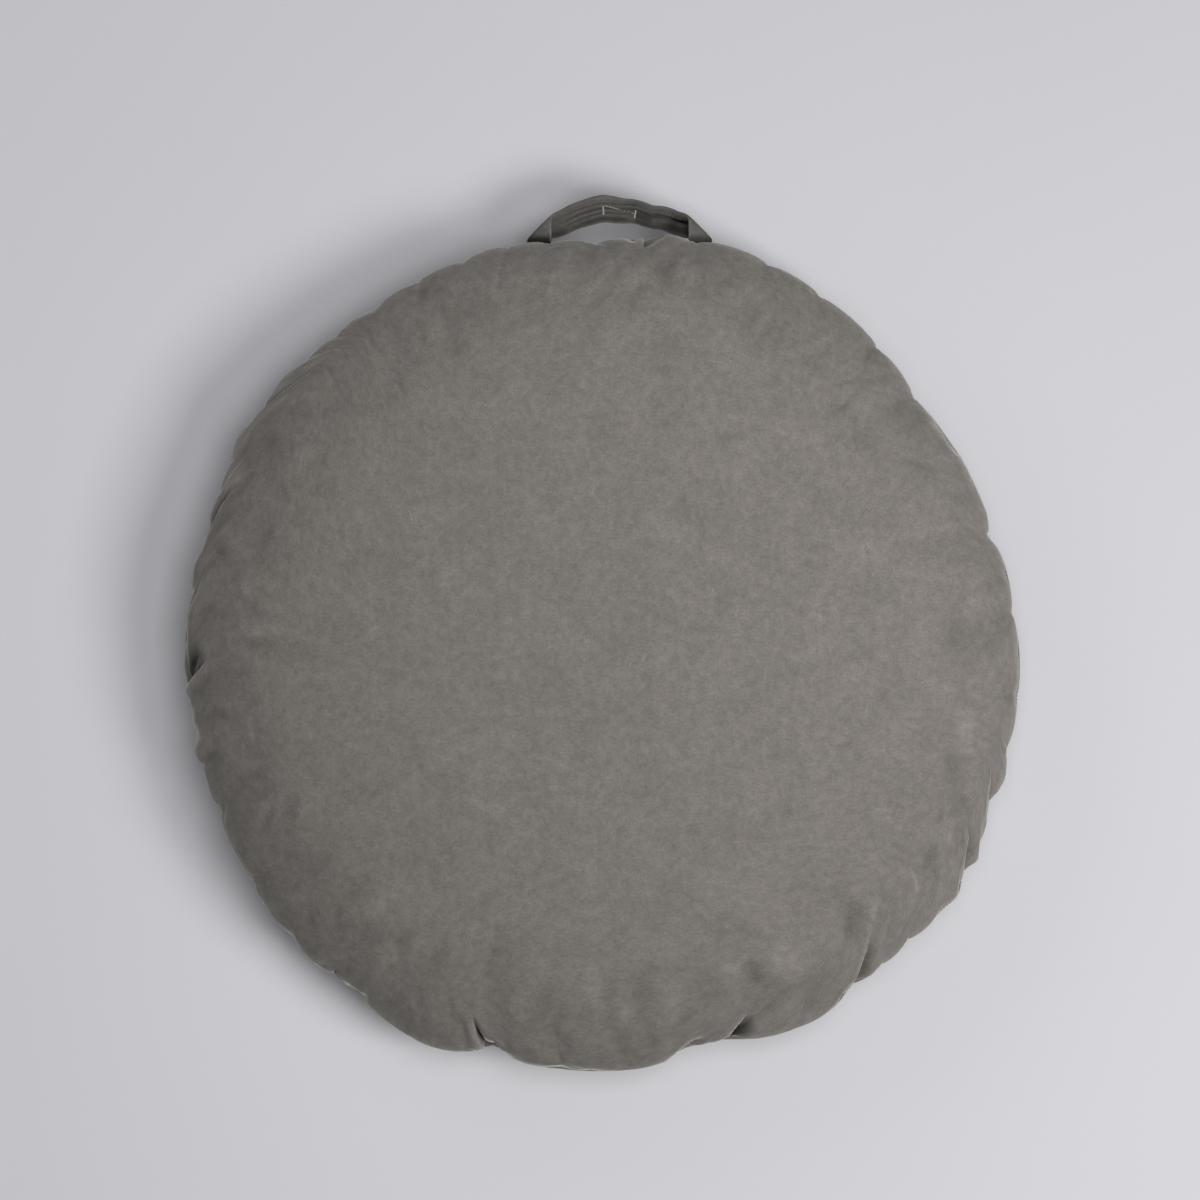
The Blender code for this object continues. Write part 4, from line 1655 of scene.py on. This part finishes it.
    def line_on_face(
        self, start: tuple[float, float], end: tuple[float, float], lift: float, steps: int = 24
    ) -> tuple[Array, Array]:
        """A straight line over the lapped face.

        Args:
            start: Its first point, as mm along and across the strap.
            end: Its last point.
            lift: Metres over the cloth.
            steps: How many points it has.

        Returns:
            Its points, and the way that the cloth faces at each.
        """
        points, facing = [], []
        for along, across in np.linspace(np.array(start) * MM, np.array(end) * MM, steps):
            relief, _ = self.relief(along, across, 1.0)
            points.append(self.place(along, across, self.thickness / 2 + relief + lift))
            facing.append(self.normal(along, across))
        return np.array(points), np.array(facing)


# ---- threads ---------------------------------------------------------------------------


@dataclass(frozen=True)
class Stitches:
    """A kind of stitch laid in rows, made with geometry nodes."""

    name: str
    pitch: float = 3.2 * MM
    length: float = 2.6 * MM
    thread: float = 0.26 * MM        # the thread's radius
    sag: float = 0.35 * MM           # how far a stitch's two ends go into the cloth
    turned: float = 0.0              # degrees from its row
    jitter: float = 3.0              # degrees, at most
    seed: int = 3
    sides: int = 6
    bend_points: int = 6
    bend_curve: float = 3.0          # how late along it a stitch bends down

    def sew(self, rows: Sequence[Row], finish: Finish) -> bpy.types.Object:
        """Lay the stitches along rows.

        Args:
            rows: For each row its points, the way that the cloth faces at each, and whether
                it closes on itself.
            finish: The thread.

        Returns:
            A plain mesh piece of all the stitches.
        """
        material = finish.value.material()
        source = self.rows_object(rows)
        modifier = source.modifiers.new(self.name, "NODES")
        modifier.node_group, sockets = self.node_group()
        values = {
            "Pitch": self.pitch, "Stitch Length": self.length, "Thread": self.thread,
            "Sag": self.sag, "Turned": math.radians(self.turned),
            "Jitter": math.radians(self.jitter), "Seed": self.seed, "Material": material,
        }
        for label, value in values.items():
            modifier[sockets[label]] = value
        seen = source.evaluated_get(bpy.context.evaluated_depsgraph_get())
        mesh = bpy.data.meshes.new_from_object(seen)
        mesh.name = self.name
        source.modifiers.remove(modifier)
        bpy.data.objects.remove(source)
        mesh.shade_smooth()
        return link_new(self.name, mesh)

    def rows_object(self, rows: Sequence[Row]) -> bpy.types.Object:
        """The rows as loose edges, with the cloth's facing on each point.

        Args:
            rows: The rows, as sew takes them.

        Returns:
            An object that only carries the stitches' modifier.
        """
        edges, count = [], 0
        for points, _, closed in rows:
            last = len(points) if closed else len(points) - 1
            edges += [(count + i, count + (i + 1) % len(points)) for i in range(last)]
            count += len(points)
        mesh = bpy.data.meshes.new(self.name + "_rows")
        mesh.from_pydata(np.concatenate([row[0] for row in rows]).tolist(), edges, [])
        facing = np.concatenate([row[1] for row in rows]).astype(np.float32)
        layer = mesh.attributes.new("facing", "FLOAT_VECTOR", "POINT")
        layer.data.foreach_set("vector", facing.ravel())
        return link_new(self.name + "_rows", mesh)

    def node_group(self) -> tuple[bpy.types.NodeTree, dict[str, str]]:
        """The node group that turns rows into stitches, and its inputs' identifiers by name."""
        tree = bpy.data.node_groups.new(self.name, "GeometryNodeTree")
        tree.interface.new_socket("Rows", in_out="INPUT", socket_type="NodeSocketGeometry")
        sockets = {}
        kinds = dict.fromkeys(
            ("Pitch", "Stitch Length", "Thread", "Sag", "Turned", "Jitter"), "NodeSocketFloat"
        )
        kinds |= {"Seed": "NodeSocketInt", "Material": "NodeSocketMaterial"}
        for label, kind in kinds.items():
            made = tree.interface.new_socket(label, in_out="INPUT", socket_type=kind)
            sockets[label] = made.identifier
        tree.interface.new_socket("Stitches", in_out="OUTPUT", socket_type="NodeSocketGeometry")
        graph = NodeGraph(tree)
        given = graph.add("NodeGroupInput").outputs

        curve = graph.add("GeometryNodeMeshToCurve", Mesh=given["Rows"]).outputs["Curve"]
        spots = graph.add(
            "GeometryNodeCurveToPoints", {"mode": "LENGTH"}, Curve=curve, Length=given["Pitch"]
        )
        facing = graph.add(
            "GeometryNodeInputNamedAttribute", {"data_type": "FLOAT_VECTOR"}, Name="facing"
        )
        axes = graph.add(
            "FunctionNodeAxesToRotation", {"primary_axis": "Z", "secondary_axis": "X"},
            Primary_Axis=facing.outputs["Attribute"], Secondary_Axis=spots.outputs["Tangent"],
        )
        least = graph.math("MULTIPLY", given["Jitter"], -1.0)
        unsure = graph.add("FunctionNodeRandomValue", {"data_type": "FLOAT"}, Seed=given["Seed"])
        graph.feed(unsure, 2, least)
        graph.feed(unsure, 3, given["Jitter"])
        angle = graph.math("ADD", given["Turned"], unsure.outputs[1])
        spin = graph.add("FunctionNodeAxisAngleToRotation", Axis=(0.0, 0.0, 1.0), Angle=angle)
        turned = graph.add(
            "FunctionNodeRotateRotation", {"rotation_space": "LOCAL"},
            Rotation=axes.outputs["Rotation"], Rotate_By=spin.outputs["Rotation"],
        )

        laid = graph.add(
            "GeometryNodeInstanceOnPoints", Points=spots.outputs["Points"],
            Instance=self.stitch(graph, given), Rotation=turned.outputs["Rotation"],
        )
        real = graph.add("GeometryNodeRealizeInstances", Geometry=laid.outputs["Instances"])
        dyed = graph.add(
            "GeometryNodeSetMaterial",
            Geometry=real.outputs["Geometry"], Material=given["Material"],
        )
        graph.add("NodeGroupOutput", Stitches=dyed.outputs["Geometry"])
        return tree, sockets

    def stitch(self, graph: NodeGraph, given: bpy.types.bpy_prop_collection) -> Socket:
        """One bowed stitch along X, its ends lower than its middle.

        Args:
            graph: The node group's graph.
            given: The node group's inputs.

        Returns:
            The socket with the stitch's mesh.
        """
        half = graph.math("MULTIPLY", given["Stitch Length"], 0.5)
        start = graph.add("ShaderNodeCombineXYZ", X=graph.math("MULTIPLY", half, -1.0))
        end = graph.add("ShaderNodeCombineXYZ", X=half)
        line = graph.add(
            "GeometryNodeCurvePrimitiveLine", {"mode": "POINTS"},
            Start=start.outputs["Vector"], End=end.outputs["Vector"],
        )
        bent = graph.add(
            "GeometryNodeResampleCurve", Curve=line.outputs["Curve"], Count=self.bend_points
        )
        place = graph.add("GeometryNodeInputPosition").outputs["Position"]
        along = graph.add("ShaderNodeSeparateXYZ", Vector=place).outputs["X"]
        share = graph.math("ABSOLUTE", graph.math("DIVIDE", along, half))
        drop = graph.math("MULTIPLY", graph.math("POWER", share, self.bend_curve), given["Sag"])
        shift = graph.add("ShaderNodeCombineXYZ", Z=graph.math("MULTIPLY", drop, -1.0))
        sunk = graph.add(
            "GeometryNodeSetPosition",
            Geometry=bent.outputs["Curve"], Offset=shift.outputs["Vector"],
        )
        ring = graph.add(
            "GeometryNodeCurvePrimitiveCircle", Resolution=self.sides, Radius=given["Thread"]
        )
        solid = graph.add(
            "GeometryNodeCurveToMesh", Curve=sunk.outputs["Geometry"],
            Profile_Curve=ring.outputs["Curve"], Fill_Caps=True,
        )
        return solid.outputs["Mesh"]


@dataclass(frozen=True)
class Threads:
    """All the pouf's visible thread."""

    seam_depth: float = 0.4 * MM     # the seam's stitches over the groove's bottom
    seam_pitch: float = 0.5          # degrees between the points of the seam's row
    lap_half: float = 52.0           # mm, half the row along the strap's lapped edge
    lap_across: float = 3.4          # mm from the middle line
    lap_points: int = 120
    lap_lift: float = 0.05 * MM
    bar_places: tuple[tuple[float, float, float], ...] = ((-13.6, -2.0, 3.7), (13.8, -2.4, 3.4))
    bar_lift: float = 0.18 * MM

    def rim(self, form: CushionForm, settling: Settling) -> bpy.types.Object:
        """The seam's own stitches, down in the groove between the panels.

        Args:
            form: The cushion's form.
            settling: How its cloth settles.

        Returns:
            The new piece.
        """
        turns = np.arange(0.0, 360.0, self.seam_pitch)
        level = np.zeros(turns.shape)
        points = form.points(turns, level) + settling.at(turns, 0.0)
        facing = np.stack([np.cos(np.radians(turns)), np.sin(np.radians(turns)), level], axis=1)
        row = (points + self.seam_depth * facing, facing, True)
        kind = Stitches("rim_seam", thread=0.32 * MM, sag=0.5 * MM)
        return kind.sew([row], Finish.SEAM_THREAD)

    def lap(self, handle: StrapHandle) -> bpy.types.Object:
        """The row that holds the strap's lapped edge down.

        Args:
            handle: The strap.

        Returns:
            The new piece.
        """
        ends = ((-self.lap_half, self.lap_across), (self.lap_half, self.lap_across))
        row = (*handle.line_on_face(*ends, self.lap_lift, self.lap_points), False)
        return Stitches("lap_stitches", thread=0.22 * MM).sew([row], Finish.EDGE_THREAD)

    def bars(self, handle: StrapHandle) -> bpy.types.Object:
        """The two close bars of light thread across the strap.

        Args:
            handle: The strap.

        Returns:
            The new piece.
        """
        rows = []
        for along, across, half in self.bar_places:
            ends = ((along, across - half), (along, across + half))
            rows.append((*handle.line_on_face(*ends, self.bar_lift), False))
        kind = Stitches(
            "thread_bars",
            pitch=0.44 * MM, length=1.25 * MM, thread=0.20 * MM, turned=78.0, jitter=9.0,
        )
        return kind.sew(rows, Finish.LIGHT_THREAD)

    def loose_run(self, handle: StrapHandle) -> bpy.types.Object:
        """The light row of long stitches between the bars.

        Args:
            handle: The strap.

        Returns:
            The new piece.
        """
        first = handle.line_on_face((-11.0, 1.8), (-1.5, 0.9), 0.10 * MM)
        rest = handle.line_on_face((1.5, 0.2), (11.0, -1.8), -0.24 * MM)
        kind = Stitches(
            "thread_run", pitch=2.9 * MM, length=2.9 * MM, thread=0.30 * MM, sag=0.3 * MM
        )
        return kind.sew([(*first, False), (*rest, False)], Finish.LIGHT_THREAD)


# ---- the studio ------------------------------------------------------------------------


@dataclass(frozen=True)
class SoftLight:
    """One square soft light, which faces the pouf."""

    name: str
    place: Place
    size: float          # metres
    watts: float
    colour: Colour


LIGHTS = (
    SoftLight("key", (1.786, -0.833, 2.522), 1.2, 60.0, (1.0, 0.99, 0.975)),
    SoftLight("overhead", (0.334, 0.0, 3.182), 1.4, 47.0, (1.0, 0.995, 0.99)),
    SoftLight("back_fill", (-2.034, 2.034, 1.403), 2.4, 19.0, (0.97, 0.985, 1.0)),
    SoftLight("left_fill", (-2.876, 0.0, 1.403), 2.4, 9.0, (0.97, 0.985, 1.0)),
)


@dataclass
class Studio:
    """The floor, the lights and the camera over the pouf."""

    floor_half: float = 6.0
    lit_at: Place = (0.0, 0.0, 0.05)                   # what the lights face
    aim: Place = (-0.0042, 0.0455, 0.075)              # what the camera faces
    distance: float = 3.2
    elevation: float = 88.0
    view_width: float = 1.0096
    sensor: float = 36.0
    room: float = 0.015                                # the room's own faint light
    room_colour: Colour = (0.9, 0.93, 1.0)

    def floor(self) -> bpy.types.Object:
        """A wide flat floor under the pouf.

        Returns:
            The floor, which the tools leave out of the part.
        """
        mesh = bpy.data.meshes.new("studio_floor")
        half = self.floor_half
        corners = [(-half, -half, 0.0), (half, -half, 0.0), (half, half, 0.0), (-half, half, 0.0)]
        mesh.from_pydata(corners, [], [(0, 1, 2, 3)])
        mesh.materials.append(Finish.FLOOR.value.material())
        piece = link_new("studio_floor", mesh)
        return piece

    def area_light(self, kind: SoftLight) -> None:
        """Hang one light and turn it to the pouf.

        Args:
            kind: The light.
        """
        light = bpy.data.lights.new(kind.name, "AREA")
        light.shape = "SQUARE"
        light.size = kind.size
        light.energy = kind.watts
        light.color = kind.colour
        lamp = link_new(kind.name, light)
        lamp.location = kind.place
        toward = Vector(self.lit_at) - lamp.location
        lamp.rotation_euler = toward.to_track_quat("-Z", "Y").to_euler()

    def lights(self) -> None:
        """A soft key from the right, a box overhead, and two wide fills on the far left."""
        for kind in LIGHTS:
            self.area_light(kind)
        world = bpy.data.worlds.new("room")
        world.use_nodes = True
        background = world.node_tree.nodes["Background"]
        background.inputs["Color"].default_value = (*self.room_colour, 1.0)
        background.inputs["Strength"].default_value = self.room
        bpy.context.scene.world = world

    def camera(self) -> None:
        """Look down on the pouf from nearly overhead."""
        data = bpy.data.cameras.new("camera")
        data.sensor_width = self.sensor
        data.lens = self.sensor * self.distance / self.view_width
        eye = link_new("camera", data)
        lift = math.radians(self.elevation)
        away = Vector((0.0, -math.cos(lift), math.sin(lift)))
        eye.location = Vector(self.aim) + self.distance * away
        eye.rotation_euler = (math.radians(90.0 - self.elevation), 0.0, 0.0)
        bpy.context.scene.camera = eye

    def build(self) -> None:
        """Set the whole studio up."""
        self.floor()
        self.lights()
        self.camera()
        bpy.context.scene.view_settings.view_transform = "Standard"


# ---- putting it together ---------------------------------------------------------------


def ride_for(piece: bpy.types.Object, slot: str, *nodes: str) -> None:
    """Fix a piece to the pouf, hide the solids that it stands for, and log its faces.

    Args:
        piece: The piece.
        slot: Not used.
        *nodes: The solids that it stands for.
    """
    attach(piece, BODY)
    if nodes:
        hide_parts(*nodes)
    LOG.info("%s: %d faces", piece.name, len(piece.data.polygons))


def main() -> None:
    """Build the dressed pouf and its studio."""
    logging.basicConfig(level=logging.INFO, format="%(name)s %(message)s")
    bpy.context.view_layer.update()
    Studio().build()

    _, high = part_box("pouf_body")
    form = CushionForm(height=high[2])
    settling = Settling(form)
    settling.run()
    cover = Cushion(form, FineRelief(), settling).build(Finish.VELVET.value.material())
    ride_for(cover, "velvet", "pouf_body")

    handle = StrapHandle()
    band = handle.build(Finish.STRAP.value.material())
    ride_for(band, "strap_velvet", "strap_handle")

    threads = Threads()
    ride_for(threads.rim(form, settling), "velvet")
    sewn = [threads.lap(handle), threads.bars(handle), threads.loose_run(handle)]
    for piece in sewn:
        ride_for(piece, "strap_velvet")


if __name__ == "__main__":
    main()
